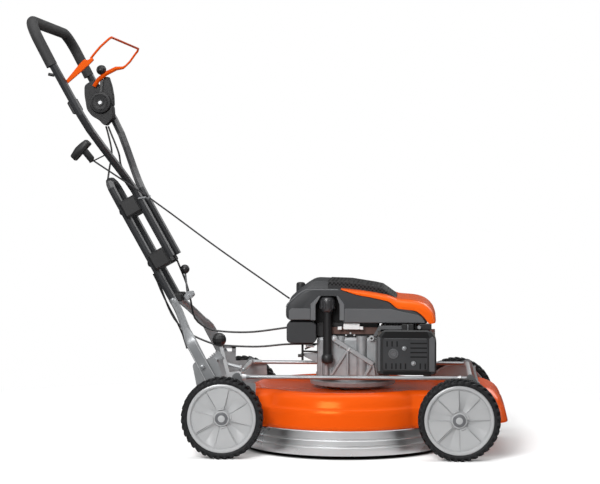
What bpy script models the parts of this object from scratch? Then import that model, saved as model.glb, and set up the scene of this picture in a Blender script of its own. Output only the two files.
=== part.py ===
# Petrol lawn mower: a round cutting deck with a steel wear ring, a four-stroke engine on top,
# height-adjustable wheels, a folding and telescoping handle, a stop bail, a throttle lever and a start rope.
# Metres. X runs forward, Y to the mower's left and Z up. Positions are taken from a datum on the ground
# below the crankshaft, and the datum itself stands DATUM_X in front of the origin.
import math

import bmesh
import bpy
from mathutils import Matrix, Vector

# Overall layout
DATUM_X = 0.19097
FIT_GAP = 0.0003
RUNNING_GAP = 0.0003
PLATE_SPACE = 0.002
CUT_THROUGH = 0.01

# Cutting deck: an outline of a drum with flat sides, a flat back and a long nose
DECK_OUTLINE_POINTS = 64
DECK_CORNER_SHARPNESS = 8.0
DECK_WALL = 0.003
DECK_RADIUS = 0.272
DECK_FLAT_INSET = 0.077
DECK_REAR_INSET = 0.010
NOSE_LENGTH = 0.1584
DECK_BOTTOM = 0.073
DECK_ROOF = 0.160
DECK_HOLE_RADIUS = 0.045
DECK_HALF_WIDTH = DECK_RADIUS - DECK_FLAT_INSET
DECK_REAR = DECK_RADIUS - DECK_REAR_INSET
NOSE_REACH = DECK_RADIUS + NOSE_LENGTH
# Each deck level: rise from the roof, and how far the drum, the nose and the flat sides are drawn in there
DECK_LEVELS = (
    (DECK_BOTTOM - DECK_ROOF, 0.0000, 0.0000, 0.000),
    (-0.0640, 0.0015, 0.0028, 0.000),
    (-0.0360, 0.0030, 0.0099, 0.000),
    (-0.0335, 0.0070, 0.0104, 0.000),
    (-0.0100, 0.0100, 0.0194, 0.000),
    (0.0050, 0.0150, 0.0404, 0.001),
    (0.0130, 0.0270, 0.0694, 0.007),
    (0.0145, 0.0340, 0.0854, 0.012),
    (0.0000, 0.0470, 0.1104, 0.023),
)

# Wear ring: how far its closed section stands out from the deck's radius and below its bottom edge
RING_STEPS = 40
RING_SECTION = (
    (-0.0004, -FIT_GAP),
    (0.0015, -0.0215),
    (-0.0004, -0.0245),
    (0.0022, -0.0275),
    (0.0032, -0.0390),
    (0.0014, -0.0420),
    (0.0038, -0.0450),
    (0.0050, -0.0635),
    (0.0018, -0.0635),
    (-0.0032, -FIT_GAP),
)

# Side plates bolted to the deck, with their outlines measured from the arm pivot
PLATE_THICKNESS = 0.003
PLATE_INNER_Y = DECK_HALF_WIDTH + FIT_GAP
PLATE_OUTER_Y = PLATE_INNER_Y + PLATE_THICKNESS
PLATE_FOOT_X = DECK_REAR - 0.057
REAR_PLATE_FOOT_Z = DECK_BOTTOM + 0.007
FRONT_PLATE_FOOT_Z = DECK_BOTTOM + 0.012
PLATE_SHOULDER = (DECK_REAR - 0.063, DECK_ROOF - 0.020)
REAR_PLATE_HEEL = ((-0.1500, 0.08566), (-0.1340, 0.02766), (-0.1200, -0.03434), (-0.0800, -0.06434))
REAR_PLATE_TOP = ((0.0214, 0.04566), (-0.0180, 0.05066), (-0.0620, 0.05466), (-0.0650, 0.08766),
                  (-0.0730, 0.10166), (-0.1110, 0.10566), (-0.1380, 0.10266))
FRONT_PLATE_TOE = ((-0.0020, -0.05934), (0.0230, -0.02434), (0.0230, 0.01566))
FRONT_PLATE_TOP = ((0.0010, 0.06666), (-0.0750, 0.06666))
FRONT_PLATE_BACK = (-0.0920, 0.02566)
ADJUST_DROP_ANGLE = math.radians(25.0)
NOTCH_SPACE = 0.0022

# Front cross strap, measured from the front arm pivot
STRAP_X = (-0.073, -0.053)
STRAP_THICKNESS = 0.0037
STRAP_FOOT_LENGTH = 0.0113
STRAP_FOOT_THICKNESS = 0.003

# Height adjustment: crank arms that turn on the side plates and carry the wheels and the tie bars
ARM_PIVOT_FROM_AXLE = (0.061, 0.040)
TIE_BAR_FROM_AXLE = (0.030, 0.096)
ARM_INNER_Y = PLATE_OUTER_Y + PLATE_SPACE
ARM_THICKNESS = 0.005
ARM_BOSS_RADIUS = 0.013
ARM_RISE_INSET = 0.0015
ARM_WELD_DEPTH = 0.002
TIE_BAR_RADIUS = 0.006
STUB_AXLE_RADIUS = 0.0062
AXLE_SHOULDER_RADIUS = 0.010
ARM_PIN_RADIUS = 0.006
LINK_ROD_RADIUS = 0.0052
LINK_ROD_INSET = 0.0093
LINK_ROD_Y = PLATE_INNER_Y - LINK_ROD_INSET
LINK_EYE_WALL = 0.0042
LINK_EYE_RADIUS = TIE_BAR_RADIUS + RUNNING_GAP + LINK_EYE_WALL
LINK_EYE_HALF_WIDTH = 0.0055
COLLAR_X = (0.008, 0.032)
COLLAR_RADIUS = 0.0085
COLLAR_END_RADIUS = 0.0056

# Wheels, which stand clear of the arms and of the deck's drum
TYRE_RADIUS = 0.105
TYRE_HALF_WIDTH = 0.0225
TYRE_DEPTH = 0.0165
TYRE_INNER_RADIUS = TYRE_RADIUS - TYRE_DEPTH
WHEEL_STEPS = 28
AXLE_HEIGHT = TYRE_RADIUS * math.cos(math.pi / WHEEL_STEPS)
HUB_BORE_RADIUS = STUB_AXLE_RADIUS + RUNNING_GAP
HUB_WALL = 0.0085
HUB_BACK_REACH = 0.030
HUB_BORE_DEPTH = 0.014
WHEEL_TO_ARM = 0.0322
WHEEL_TO_DECK = 0.0417531
WHEEL_MID_Y = ARM_INNER_Y + ARM_THICKNESS + WHEEL_TO_ARM + HUB_BACK_REACH
TYRE_CORNER_X = math.sqrt((DECK_RADIUS + WHEEL_TO_DECK) ** 2 - (WHEEL_MID_Y - TYRE_HALF_WIDTH) ** 2)
WHEELBASE = 2 * (TYRE_CORNER_X + TYRE_RADIUS)

# Height lever and its toothed quadrant, measured from the rear arm pivot
LEVER_Y = 0.150
LEVER_THICKNESS = 0.003
LEVER_WIDTH = 0.009
LEVER_FOOT = (-0.0565, 0.05316)
LEVER_HEEL_WALL = 0.0035
LEVER_KNOB_CENTRE = (-0.0813, 0.14876)
LEVER_KNOB_RADIUS = 0.0185
LEVER_STEM_REACH = 0.80
QUADRANT_SPACE = 0.0037
QUADRANT_THICKNESS = 0.003
QUADRANT_Y = LEVER_Y + LEVER_THICKNESS / 2 + QUADRANT_SPACE
QUADRANT_INNER_RADIUS = 0.122
QUADRANT_OUTER_RADIUS = 0.149
QUADRANT_TOOTH_DEPTH = 0.004
QUADRANT_ANGLES = (math.radians(112.0), math.radians(148.0))
QUADRANT_TEETH = 8
QUADRANT_BLOCK_X = (-0.1050, -0.0910)
QUADRANT_BLOCK_Z = (0.07966, 0.09566)

# Handle, measured from its fold pivot: two spine lines that lean back, each with a pair of tubes on it
HANDLE_PIVOT_FROM_ARM = (-0.1186, 0.08416)
SPINE_RUN_PER_RISE = math.tan(math.radians(29.0))
LOWER_SPINE_FROM_FOLD = (-0.2154, 0.3745)
UPPER_SPINE_FROM_FOLD = (-0.1939, 0.4465)
HANDLE_TUBE_RADIUS = 0.0105
LOWER_SPINE_HALF_WIDTH = 0.055
UPPER_SPINE_HALF_WIDTH = 0.065
HANDLE_PIN_RADIUS = 0.005
HANDLE_PIN_HEAD_RADIUS = 0.0095
HANDLE_PIN_HEAD_HEIGHT = 0.006
HANDLE_PLATE_Y = PLATE_OUTER_Y + PLATE_SPACE
HANDLE_PLATE_THICKNESS = 0.004
HANDLE_PLATE_WIDTH = 0.029
HANDLE_PLATE_ENDS = ((-0.0274, 0.0595), (0.0196, -0.0300))
# The leg's way from its plate to the spine: run, rise, and the share of the way out that is left
LEG_COURSE = ((-0.0284, 0.0635, 1.0), (-0.0454, 0.0895, 0.7807), (-0.0728, 0.1300, 0.3055),
              (-0.0914, 0.1530, 0.0373))
LEG_STRAIGHT_END = 0.0052
KNUCKLE_X = (-0.1079, -0.0746)
KNUCKLE_Z = (0.1565, 0.1775)
LOOP_BOTTOM_RISE = 0.1640
LOOP_TOP_RISE = 0.4770
LOOP_FIRST_STRAIGHT = 0.1075
# The loop's bend: drop from its top, and how far its tube has come in
LOOP_BEND = ((0.0455, 0.0), (0.0205, 0.003), (0.0065, 0.015), (0.0010, 0.032))
UPPER_TUBE_BOTTOM_RISE = 0.2780
# The upper tube's flare: rise from the spine's point, and the share of the way out to the grip
TUBE_FLARE = ((-0.1050, 0.0), (-0.0450, 0.0), (-0.0050, 0.0), (0.0100, 0.0156), (0.0330, 0.1117),
              (0.0624, 0.2857), (0.0925, 0.4883), (0.1211, 0.6805), (0.1628, 0.9195), (0.2010, 1.0),
              (0.2250, 1.0))
GRIP_RADIUS = 0.0145
GRIP_HALF_WIDTH = 0.2575
GRIP_END_RISE = 0.7741
GRIP_HEIGHT = 0.1159
# The grip's bend: drop from its top, and how far it has come in
GRIP_BEND = ((0.0785, 0.0), (0.0385, 0.0015), (0.0145, 0.0125), (0.0025, 0.0315), (0.0, 0.0575), (0.0, 0.1575))
CLAMP_SIZE = 0.048
CLAMP_HALF_LENGTH = 0.081
CLAMP_OFFSET = 0.0240
CLAMP_BEVEL = 0.005
CLAMP_BORE_GAP = 0.0006
UPPER_CLAMP_RISE = 0.3987
LOWER_CLAMP_RISE = 0.2601
TILT_PIVOT_FROM_FOLD = (-0.0649, 0.1665)
TILT_KNOB_FROM_FOLD = (-0.0725, 0.2404)
TILT_KNOB_RADIUS = 0.0125
TILT_HUB_RADIUS = 0.0092
TILT_HUB_HALF_WIDTH = 0.012
TILT_ROD_RADIUS = 0.0026

# Controls, measured from the grip's lower end
BAIL_PIVOT_FROM_GRIP = (0.02209, -0.0401)
BAIL_KNEE_FROM_GRIP = (0.09789, 0.0099)
BAIL_BAR_FROM_GRIP = (0.14359, 0.0722)
BAIL_WIRE_RADIUS = 0.0035
BAIL_NEAR_ARM_REACH = 0.018
BAIL_PADDLE_HALF_THICKNESS = 0.0018
BOX_WIDTH = 0.0367
BOX_OUTER_Y = GRIP_HALF_WIDTH - HANDLE_TUBE_RADIUS - FIT_GAP
BOX_INNER_Y = BOX_OUTER_Y - BOX_WIDTH
BOX_BEVEL = 0.003
BOX_OUTLINE = ((-0.00781, -0.0291), (-0.00791, -0.0562), (-0.00101, -0.0977), (0.01289, -0.1154),
               (0.03459, -0.1275), (0.04559, -0.1426), (0.06109, -0.1426), (0.07429, -0.1195),
               (0.07249, -0.0881), (0.04909, -0.0426), (0.01929, -0.0115))
BAIL_FAR_ARM_Y = BOX_INNER_Y - 0.032
BAIL_BAR_HALF_WIDTH = BOX_INNER_Y - 0.036
CONTROL_PIVOT_FROM_GRIP = (0.03829, -0.0778)
CONTROL_KNOB_FROM_GRIP = (0.04389, 0.0141)
CONTROL_KNOB_RADIUS = 0.0125
CONTROL_HUB_RADIUS = 0.0155
CONTROL_HUB_THICKNESS = 0.010
CONTROL_ARM_HALF_WIDTH = 0.0040

# Engine base, crankcase and cylinder
BASE_CENTRE_X = 0.021
BASE_RADIUS = 0.115
BASE_BOTTOM = DECK_ROOF + 0.0035
BASE_TOP = BASE_BOTTOM + 0.0160
BASE_SPIGOT_RADIUS = 0.085
BASE_BORE_RADIUS = 0.040
CRANKCASE_X = (-0.0687, 0.0950)
CRANKCASE_HALF_WIDTH = 0.115
CRANKCASE_BOTTOM = BASE_TOP + 0.0103
CRANKCASE_TOP = 0.300
CRANKCASE_BEVEL = 0.010
FLANGE_RADIUS = 0.098
FLANGE_HEIGHT = 0.0150
CRANK_RADIUS = 0.0125
CRANK_TOP = 0.3350
CRANK_BOTTOM = 0.0755
CYLINDER_FRONT = 0.2150
CYLINDER_HALF_WIDTH = 0.046
CYLINDER_Z = (0.2200, 0.3230)
FIN_COUNT = 7
FIN_START = 0.010
FIN_PITCH = 0.0165
FIN_THICKNESS = 0.0045
FIN_HALF_WIDTH = 0.060
FIN_BOTTOM = 0.2080

# Blower shroud, trim and grille, with the flywheel running in the shroud's cavity
SHROUD_BOTTOM = 0.337
SHROUD_REAR_BOTTOM = 0.3445
SHROUD_HALF_WIDTH = 0.145
SHROUD_EDGE = 0.007
SHROUD_DRAW_IN = 0.94
SHROUD_SIDE_PROFILE = ((-0.1400, SHROUD_REAR_BOTTOM), (-0.1448, 0.3850), (-0.1385, 0.4020), (-0.1100, 0.4225),
                       (-0.0950, 0.4255), (-0.0300, 0.4255), (-0.0050, 0.4250), (0.0345, 0.4107),
                       (0.1190, 0.3940), (0.1415, 0.3745), (0.2040, 0.3607), (0.2225, SHROUD_BOTTOM),
                       (0.0, SHROUD_BOTTOM), (-0.0600, SHROUD_REAR_BOTTOM))
SHROUD_CROWN_PROFILE = ((-0.1400, SHROUD_REAR_BOTTOM), (-0.1448, 0.3850), (-0.1385, 0.4020), (-0.1013, 0.4336),
                        (-0.0779, 0.4469), (-0.0360, 0.4455), (-0.0330, 0.4415), (0.0345, 0.4245),
                        (0.1280, 0.4000), (0.1415, 0.3745), (0.2040, 0.3607), (0.2225, SHROUD_BOTTOM),
                        (0.0, SHROUD_BOTTOM), (-0.0600, SHROUD_REAR_BOTTOM))
CROWN_HALF_WIDTH = 0.094
SHOULDER_HALF_WIDTH = 0.0985
FLYWHEEL_RADIUS = 0.085
FLYWHEEL_SPACE = 0.010
FLYWHEEL_HUB_RADIUS = 0.030
FLYWHEEL_Z = (0.3380, 0.3530)
CAVITY_RADIUS = FLYWHEEL_RADIUS + FLYWHEEL_SPACE
CAVITY_TOP = 0.390
RECESS_X = (-0.0775, 0.0016)
RECESS_INNER_Y = 0.1095
RECESS_TOP = 0.4084
FUEL_NECK_RADIUS = 0.0150
FUEL_NECK_Z = (0.395, 0.4300)
FUEL_CAP_XY = (-0.1240, 0.0850)
FUEL_CAP_RADIUS = 0.0170
FUEL_CAP_HEIGHT = 0.0100
TRIM_LIFT = 0.0004
TRIM_FRONT = ((0.2430, 0.3440), (0.2177, 0.3950), (0.1414, 0.4143))
TRIM_OPENING_FRONT = 0.1440
GRILLE_EDGE = 0.002
GRILLE_OUTLINE = ((-0.0320, 0.4414 + FIT_GAP), (0.0345, 0.4246 + FIT_GAP), (0.1275, 0.4002 + FIT_GAP),
                  (0.1310, 0.4086), (-0.0300, 0.4498))

# Engine fittings
FILTER_BACK = -0.1490
FILTER_Y = (-0.1350, 0.0200)
FILTER_Z = (0.2797, 0.3367)
FILTER_BEVEL = 0.006
GUARD_X = (0.0880, 0.2447)
GUARD_Y = (-0.1700, -0.1250)
GUARD_Z = (0.2046, 0.3213)
GUARD_WALL = 0.004
GUARD_BEVEL = 0.004
GUARD_SLOT_DEPTH = 0.020
SIDE_SLOT_X = 0.1980
SIDE_SLOT_TOP = 0.2876
SIDE_SLOT_PITCH = 0.0115
SIDE_SLOT_SIZE = (0.0430, 0.0040)
SIDE_SLOT_COUNT = 4
FOOT_SLOT_XS = (0.1137, 0.1290, 0.1395, 0.1515, 0.1640, 0.2020, 0.2150)
FOOT_SLOT_Z = 0.2290
FOOT_SLOT_SIZE = (0.0036, 0.0150)
MUFFLER_GAP = 0.0006
MUFFLER_WAIST = (0.006, 0.012)
OIL_TUBE_XY = (-0.0400, -0.1318)
OIL_TUBE_RADIUS = 0.0080
OIL_TUBE_TOP = 0.3655
OIL_COLLAR_RADIUS = 0.0165
OIL_COLLAR_Z = (0.2330, 0.2440)
OIL_CAP_RADIUS = 0.0205
# The oil cap's section from its top: how far inside its radius, and its height above the tube
OIL_CAP_SECTION = ((0.0105, 0.0402), (0.0085, 0.0302), (0.0020, 0.0282), (0.0000, 0.0252), (0.0000, 0.0062),
                   (0.0060, 0.0000))

# Blade
BLADE_TIP_SPACE = 0.032
BLADE_HALF_LENGTH = DECK_RADIUS - BLADE_TIP_SPACE
BLADE_HALF_WIDTH = 0.028
BLADE_CORNER = (0.010, 0.012)
BLADE_Z = (0.0300, 0.0340)
CARRIER_RADIUS = 0.034
CARRIER_NECK_RADIUS = 0.020
BLADE_BOLT_RADIUS = 0.012
BLADE_BOLT_HEIGHT = 0.009

# Start rope and control cables
ROPE_RADIUS = 0.0022
ROPE_SAG = 0.003
ROPE_EYE_FROM_FOLD = (-0.1580, 0.4355)
ROPE_EYE_BESIDE_TUBE = 0.0095
ROPE_EYE_Y = -(UPPER_SPINE_HALF_WIDTH + HANDLE_TUBE_RADIUS + ROPE_EYE_BESIDE_TUBE)
ROPE_EYE_RADIUS = 0.0070
ROPE_EYE_SPACE = 0.0012
ROPE_GRIP_FROM_FOLD = (-0.2914, 0.5300)
ROPE_GRIP_Y = ROPE_EYE_Y - 0.0610
ROPE_ENGINE_END = Vector((-0.1446, -0.0500, 0.3945))
T_GRIP_ENDS = ((-0.3118, 0.5868), (-0.3403, 0.5297))
T_GRIP_Y = ROPE_GRIP_Y - 0.0040
T_GRIP_RADIUS = 0.0082
CABLE_RADIUS = 0.0026


# Places that follow from the sizes above

def wheel_place(end, side):
    return (end * WHEELBASE / 2, side * WHEEL_MID_Y, AXLE_HEIGHT)


def arm_pivot(end):
    return (end * WHEELBASE / 2 + ARM_PIVOT_FROM_AXLE[0], AXLE_HEIGHT + ARM_PIVOT_FROM_AXLE[1])


def tie_bar_place(end):
    return (end * WHEELBASE / 2 + TIE_BAR_FROM_AXLE[0], AXLE_HEIGHT + TIE_BAR_FROM_AXLE[1])


def moved(start, step):
    """A place in the X-Z plane, a step of run and rise away from another."""
    return (start[0] + step[0], start[1] + step[1])


def above_ground(place_xz, y=0.0):
    return (place_xz[0], y, place_xz[1])


def on_spine(spine, height, y):
    return (spine[0] + (spine[1] - height) * SPINE_RUN_PER_RISE, y, height)


HANDLE_PIVOT = moved(arm_pivot(-1), HANDLE_PIVOT_FROM_ARM)
LOWER_SPINE = moved(HANDLE_PIVOT, LOWER_SPINE_FROM_FOLD)
UPPER_SPINE = moved(HANDLE_PIVOT, UPPER_SPINE_FROM_FOLD)
LOOP_BOTTOM_Z = HANDLE_PIVOT[1] + LOOP_BOTTOM_RISE
LOOP_TOP_Z = HANDLE_PIVOT[1] + LOOP_TOP_RISE
UPPER_TUBE_BOTTOM_Z = HANDLE_PIVOT[1] + UPPER_TUBE_BOTTOM_RISE
UPPER_CLAMP_Z = HANDLE_PIVOT[1] + UPPER_CLAMP_RISE
LOWER_CLAMP_Z = HANDLE_PIVOT[1] + LOWER_CLAMP_RISE
GRIP_END_Z = HANDLE_PIVOT[1] + GRIP_END_RISE
GRIP_TOP_Z = GRIP_END_Z + GRIP_HEIGHT
GRIP_END = (on_spine(UPPER_SPINE, GRIP_END_Z, 0.0)[0], GRIP_END_Z)
BAIL_PIVOT = moved(GRIP_END, BAIL_PIVOT_FROM_GRIP)
BAIL_KNEE = moved(GRIP_END, BAIL_KNEE_FROM_GRIP)
BAIL_BAR = moved(GRIP_END, BAIL_BAR_FROM_GRIP)
CONTROL_PIVOT = moved(GRIP_END, CONTROL_PIVOT_FROM_GRIP)
CONTROL_KNOB_CENTRE = moved(GRIP_END, CONTROL_KNOB_FROM_GRIP)
TILT_PIVOT = moved(HANDLE_PIVOT, TILT_PIVOT_FROM_FOLD)
TILT_KNOB_CENTRE = moved(HANDLE_PIVOT, TILT_KNOB_FROM_FOLD)
ROPE_EYE = Vector(above_ground(moved(HANDLE_PIVOT, ROPE_EYE_FROM_FOLD), ROPE_EYE_Y))
ROPE_GRIP_END = Vector(above_ground(moved(HANDLE_PIVOT, ROPE_GRIP_FROM_FOLD), ROPE_GRIP_Y))


# Collections and joint markers

for existing in list(bpy.data.objects):
    bpy.data.objects.remove(existing, do_unlink=True)

parts = bpy.data.collections.new("petrol_lawn_mower")
cutters = bpy.data.collections.new("cutters")
bpy.context.scene.collection.children.link(parts)
bpy.context.scene.collection.children.link(cutters)


def add_marker(name, position, carrier=None):
    """An empty that stands on a joint's axis, with its own place kept for what hangs on it."""
    marker = bpy.data.objects.new(name, None)
    marker.empty_display_size = 0.03
    parts.objects.link(marker)
    marker["place"] = position
    marker.parent = carrier
    start = Vector(carrier["place"]) if carrier else Vector((0.0, 0.0, 0.0))
    marker.location = Vector(position) - start
    return marker


datum = bpy.data.objects.new("mower_datum", None)
parts.objects.link(datum)
datum.location = (DATUM_X, 0.0, 0.0)
datum["place"] = (0.0, 0.0, 0.0)

blade_marker = add_marker("blade_axis", (0.0, 0.0, BLADE_Z[0]), datum)
rear_marker = add_marker("rear_arm_axis", above_ground(arm_pivot(-1)), datum)
front_marker = add_marker("front_arm_axis", above_ground(arm_pivot(1)), datum)
link_marker = add_marker("link_rod_axis", above_ground(tie_bar_place(-1)), rear_marker)
handle_marker = add_marker("handle_fold_axis", above_ground(HANDLE_PIVOT), datum)
telescope_marker = add_marker("telescope_axis", above_ground(UPPER_SPINE), handle_marker)
bail_marker = add_marker("bail_axis", above_ground(BAIL_PIVOT), telescope_marker)
control_marker = add_marker("control_axis", above_ground(CONTROL_PIVOT, BOX_INNER_Y), telescope_marker)
tilt_marker = add_marker("tilt_axis", above_ground(TILT_PIVOT), handle_marker)
wheel_markers = {}
for end, end_name, carrier in ((-1, "rear", rear_marker), (1, "front", front_marker)):
    for side, side_name in ((-1, "right"), (1, "left")):
        marker = add_marker(end_name + "_axle_" + side_name, wheel_place(end, side), carrier)
        wheel_markers[(end, side)] = marker


# Materials

def make_material(name, colour, metallic, roughness):
    material = bpy.data.materials.new(name)
    material.use_nodes = True
    shader = material.node_tree.nodes["Principled BSDF"]
    shader.inputs["Base Color"].default_value = (colour[0], colour[1], colour[2], 1.0)
    shader.inputs["Metallic"].default_value = metallic
    shader.inputs["Roughness"].default_value = roughness
    material.diffuse_color = (colour[0], colour[1], colour[2], 1.0)
    return material


def orange_paint(name):
    return make_material(name, (0.86, 0.10, 0.008), 0.0, 0.30)


def black_plastic(name):
    return make_material(name, (0.018, 0.018, 0.019), 0.0, 0.48)


def dark_plastic(name):
    return make_material(name, (0.075, 0.075, 0.078), 0.0, 0.50)


def grey_plastic(name):
    return make_material(name, (0.42, 0.42, 0.43), 0.0, 0.45)


def tyre_rubber(name):
    return make_material(name, (0.014, 0.014, 0.015), 0.0, 0.75)


def dark_tube_paint(name):
    return make_material(name, (0.055, 0.056, 0.060), 0.6, 0.38)


def zinc_steel(name):
    return make_material(name, (0.55, 0.55, 0.56), 1.0, 0.36)


def bright_steel(name):
    return make_material(name, (0.72, 0.72, 0.74), 1.0, 0.24)


def cast_aluminium(name):
    return make_material(name, (0.50, 0.50, 0.51), 0.9, 0.50)


def grey_paint(name):
    return make_material(name, (0.20, 0.20, 0.21), 0.3, 0.45)


# Ways of shaping

def finish(name, shape, paint, marker, smooth=True):
    """Make the named object, give it its own material and hang it on its joint marker."""
    part = bpy.data.objects.new(name, shape)
    shape.materials.clear()
    shape.materials.append(paint(name + "_surface"))
    parts.objects.link(part)
    part.parent = marker
    part.location = -Vector(marker["place"])
    if smooth:
        shape.shade_smooth()
        shape.set_sharp_from_angle(angle=math.radians(35.0))
    return part


def to_mesh(name, bm):
    bmesh.ops.recalc_face_normals(bm, faces=bm.faces)
    shape = bpy.data.meshes.new(name)
    bm.to_mesh(shape)
    bm.free()
    return shape


def box_mesh(name, low, high, bevel=0.0, segments=2):
    bm = bmesh.new()
    size = [high[axis] - low[axis] for axis in range(3)]
    middle = [(high[axis] + low[axis]) / 2 for axis in range(3)]
    bmesh.ops.create_cube(bm, size=1.0, matrix=Matrix.Translation(middle) @ Matrix.Diagonal((*size, 1.0)))
    if bevel > 0.0:
        bmesh.ops.bevel(bm, geom=bm.edges[:], offset=bevel, segments=segments, profile=0.5,
                        affect="EDGES", material=-1)
    return to_mesh(name, bm)


def add_round(bm, start, end, radius, segments, end_radius=None):
    """A round bar between two points, added to a shape in the making."""
    start = Vector(start)
    end = Vector(end)
    along = end - start
    turn = along.to_track_quat("Z", "Y").to_matrix().to_4x4()
    place = Matrix.Translation((start + end) / 2) @ turn
    top = radius if end_radius is None else end_radius
    bmesh.ops.create_cone(bm, cap_ends=True, cap_tris=False, segments=segments, radius1=radius,
                          radius2=top, depth=along.length, matrix=place)


def round_mesh(name, start, end, radius, segments=24, end_radius=None):
    bm = bmesh.new()
    add_round(bm, start, end, radius, segments, end_radius)
    return to_mesh(name, bm)


def ball_mesh(name, centre, radius, segments=14):
    bm = bmesh.new()
    bmesh.ops.create_uvsphere(bm, u_segments=segments, v_segments=segments // 2, radius=radius,
                              matrix=Matrix.Translation(centre))
    return to_mesh(name, bm)


def sheet_mesh(name, outline, low_y, high_y, bevel=0.0):
    """A flat piece whose outline lies in the X-Z plane, between two Y values."""
    bm = bmesh.new()
    ring = [bm.verts.new((x, low_y, z)) for x, z in outline]
    face = bm.faces.new(ring)
    pushed = bmesh.ops.extrude_face_region(bm, geom=[face])
    pulled = [item for item in pushed["geom"] if isinstance(item, bmesh.types.BMVert)]
    bmesh.ops.translate(bm, verts=pulled, vec=(0.0, high_y - low_y, 0.0))
    if bevel > 0.0:
        flat = [edge for edge in bm.edges if abs(edge.verts[0].co.y - edge.verts[1].co.y) < 1e-6]
        bmesh.ops.bevel(bm, geom=flat, offset=bevel, segments=1, profile=0.5, affect="EDGES", material=-1)
    return to_mesh(name, bm)


def skin_mesh(name, loops, closed_ends):
    """A skin that runs from one loop of points to the next, all with the same number of points."""
    bm = bmesh.new()
    rings = [[bm.verts.new(point) for point in loop] for loop in loops]
    count = len(rings[0])
    for lower, upper in zip(rings, rings[1:]):
        for step in range(count):
            following = (step + 1) % count
            bm.faces.new((lower[step], lower[following], upper[following], upper[step]))
    if closed_ends:
        bm.faces.new(list(reversed(rings[0])))
        bm.faces.new(rings[-1])
    return to_mesh(name, bm)


def turned_mesh(name, section, steps, turn_to_y=False, centre=(0.0, 0.0, 0.0), end_on_axis=False):
    """A turned shape: its section holds radius and height, from the top down the outer side."""
    outline = bpy.data.meshes.new(name + "_section")
    points = [(radius, 0.0, height) for radius, height in section]
    edges = [(step, step + 1) for step in range(len(points) - 1)]
    if not end_on_axis:
        edges.append((len(points) - 1, 0))
    outline.from_pydata(points, edges, [])
    blank = bpy.data.objects.new(name + "_blank", outline)
    bpy.context.scene.collection.objects.link(blank)
    screw = blank.modifiers.new("turn", "SCREW")
    screw.axis = "Z"
    screw.steps = steps
    screw.render_steps = steps
    screw.use_merge_vertices = True
    screw.merge_threshold = 0.0001
    bpy.context.view_layer.update()
    ready = blank.evaluated_get(bpy.context.evaluated_depsgraph_get())
    shape = bpy.data.meshes.new_from_object(ready)
    bpy.data.objects.remove(blank)
    bpy.data.meshes.remove(outline)
    bm = bmesh.new()
    bm.from_mesh(shape)
    bpy.data.meshes.remove(shape)
    bmesh.ops.remove_doubles(bm, verts=bm.verts, dist=0.00002)
    half_step = Matrix.Rotation(math.pi / steps, 4, "Z")
    lay_down = Matrix.Rotation(math.pi / 2, 4, "X") if turn_to_y else Matrix.Identity(4)
    bmesh.ops.transform(bm, matrix=Matrix.Translation(centre) @ lay_down @ half_step, verts=bm.verts)
    return to_mesh(name, bm)


def smooth_path(points, step):
    """Points along a soft curve through the given ones, one about every step of length."""
    path = [Vector(point) for point in points]
    padded = [path[0] * 2 - path[1]] + path + [path[-1] * 2 - path[-2]]
    result = []
    for index in range(1, len(padded) - 2):
        before, start, end, after = padded[index - 1:index + 3]
        pieces = max(1, round((end - start).length / step))
        for piece in range(pieces):
            t = piece / pieces
            straight = start * 2 + (end - before) * t
            bend = (before * 2 - start * 5 + end * 4 - after) * t ** 2
            twist = (start * 3 - before - end * 3 + after) * t ** 3
            result.append((straight + bend + twist) / 2)
    result.append(path[-1])
    return result


def tube_mesh(name, points, radius, resolution=2):
    curve = bpy.data.curves.new(name + "_path", "CURVE")
    curve.dimensions = "3D"
    curve.bevel_depth = radius
    curve.bevel_resolution = resolution
    curve.use_fill_caps = True
    spline = curve.splines.new("POLY")
    spline.points.add(len(points) - 1)
    for target, point in zip(spline.points, points):
        target.co = (*point, 1.0)
    blank = bpy.data.objects.new(name + "_blank", curve)
    bpy.context.scene.collection.objects.link(blank)
    bpy.context.view_layer.update()
    ready = blank.evaluated_get(bpy.context.evaluated_depsgraph_get())
    shape = bpy.data.meshes.new_from_object(ready)
    bpy.data.objects.remove(blank)
    bpy.data.curves.remove(curve)
    bm = bmesh.new()
    bm.from_mesh(shape)
    bpy.data.meshes.remove(shape)
    bmesh.ops.remove_doubles(bm, verts=bm.verts, dist=0.00002)
    return to_mesh(name, bm)


def combine(part, shape, operation):
    """Cut a shape from a part, or join one to it; the tool stays hidden among the cutters."""
    tool = bpy.data.objects.new(part.name + "_tool_" + str(len(part.modifiers)), shape)
    cutters.objects.link(tool)
    tool.parent = part.parent
    tool.location = part.location
    tool.hide_render = True
    tool.display_type = "WIRE"
    boolean = part.modifiers.new("shape_" + str(len(part.modifiers)), "BOOLEAN")
    boolean.operation = operation
    boolean.solver = "EXACT"
    boolean.object = tool


def side_names():
    return ((-1, "right"), (1, "left"))


def between(side, inner, outer):
    """The two Y values of a piece that lies between two distances from the middle, lowest first."""
    return (inner, outer) if side > 0 else (-outer, -inner)


def rounded_strip(start, end, half_width, points=6):
    """The X-Z outline of a straight strip with round ends."""
    start = Vector(start)
    end = Vector(end)
    heading = math.atan2(end.y - start.y, end.x - start.x)
    outline = []
    for centre, turn in ((end, -math.pi / 2), (start, math.pi / 2)):
        for step in range(points + 1):
            angle = heading + turn + math.pi * step / points
            outline.append((centre.x + half_width * math.cos(angle),
                            centre.y + half_width * math.sin(angle)))
    return outline


# Deck

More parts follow.
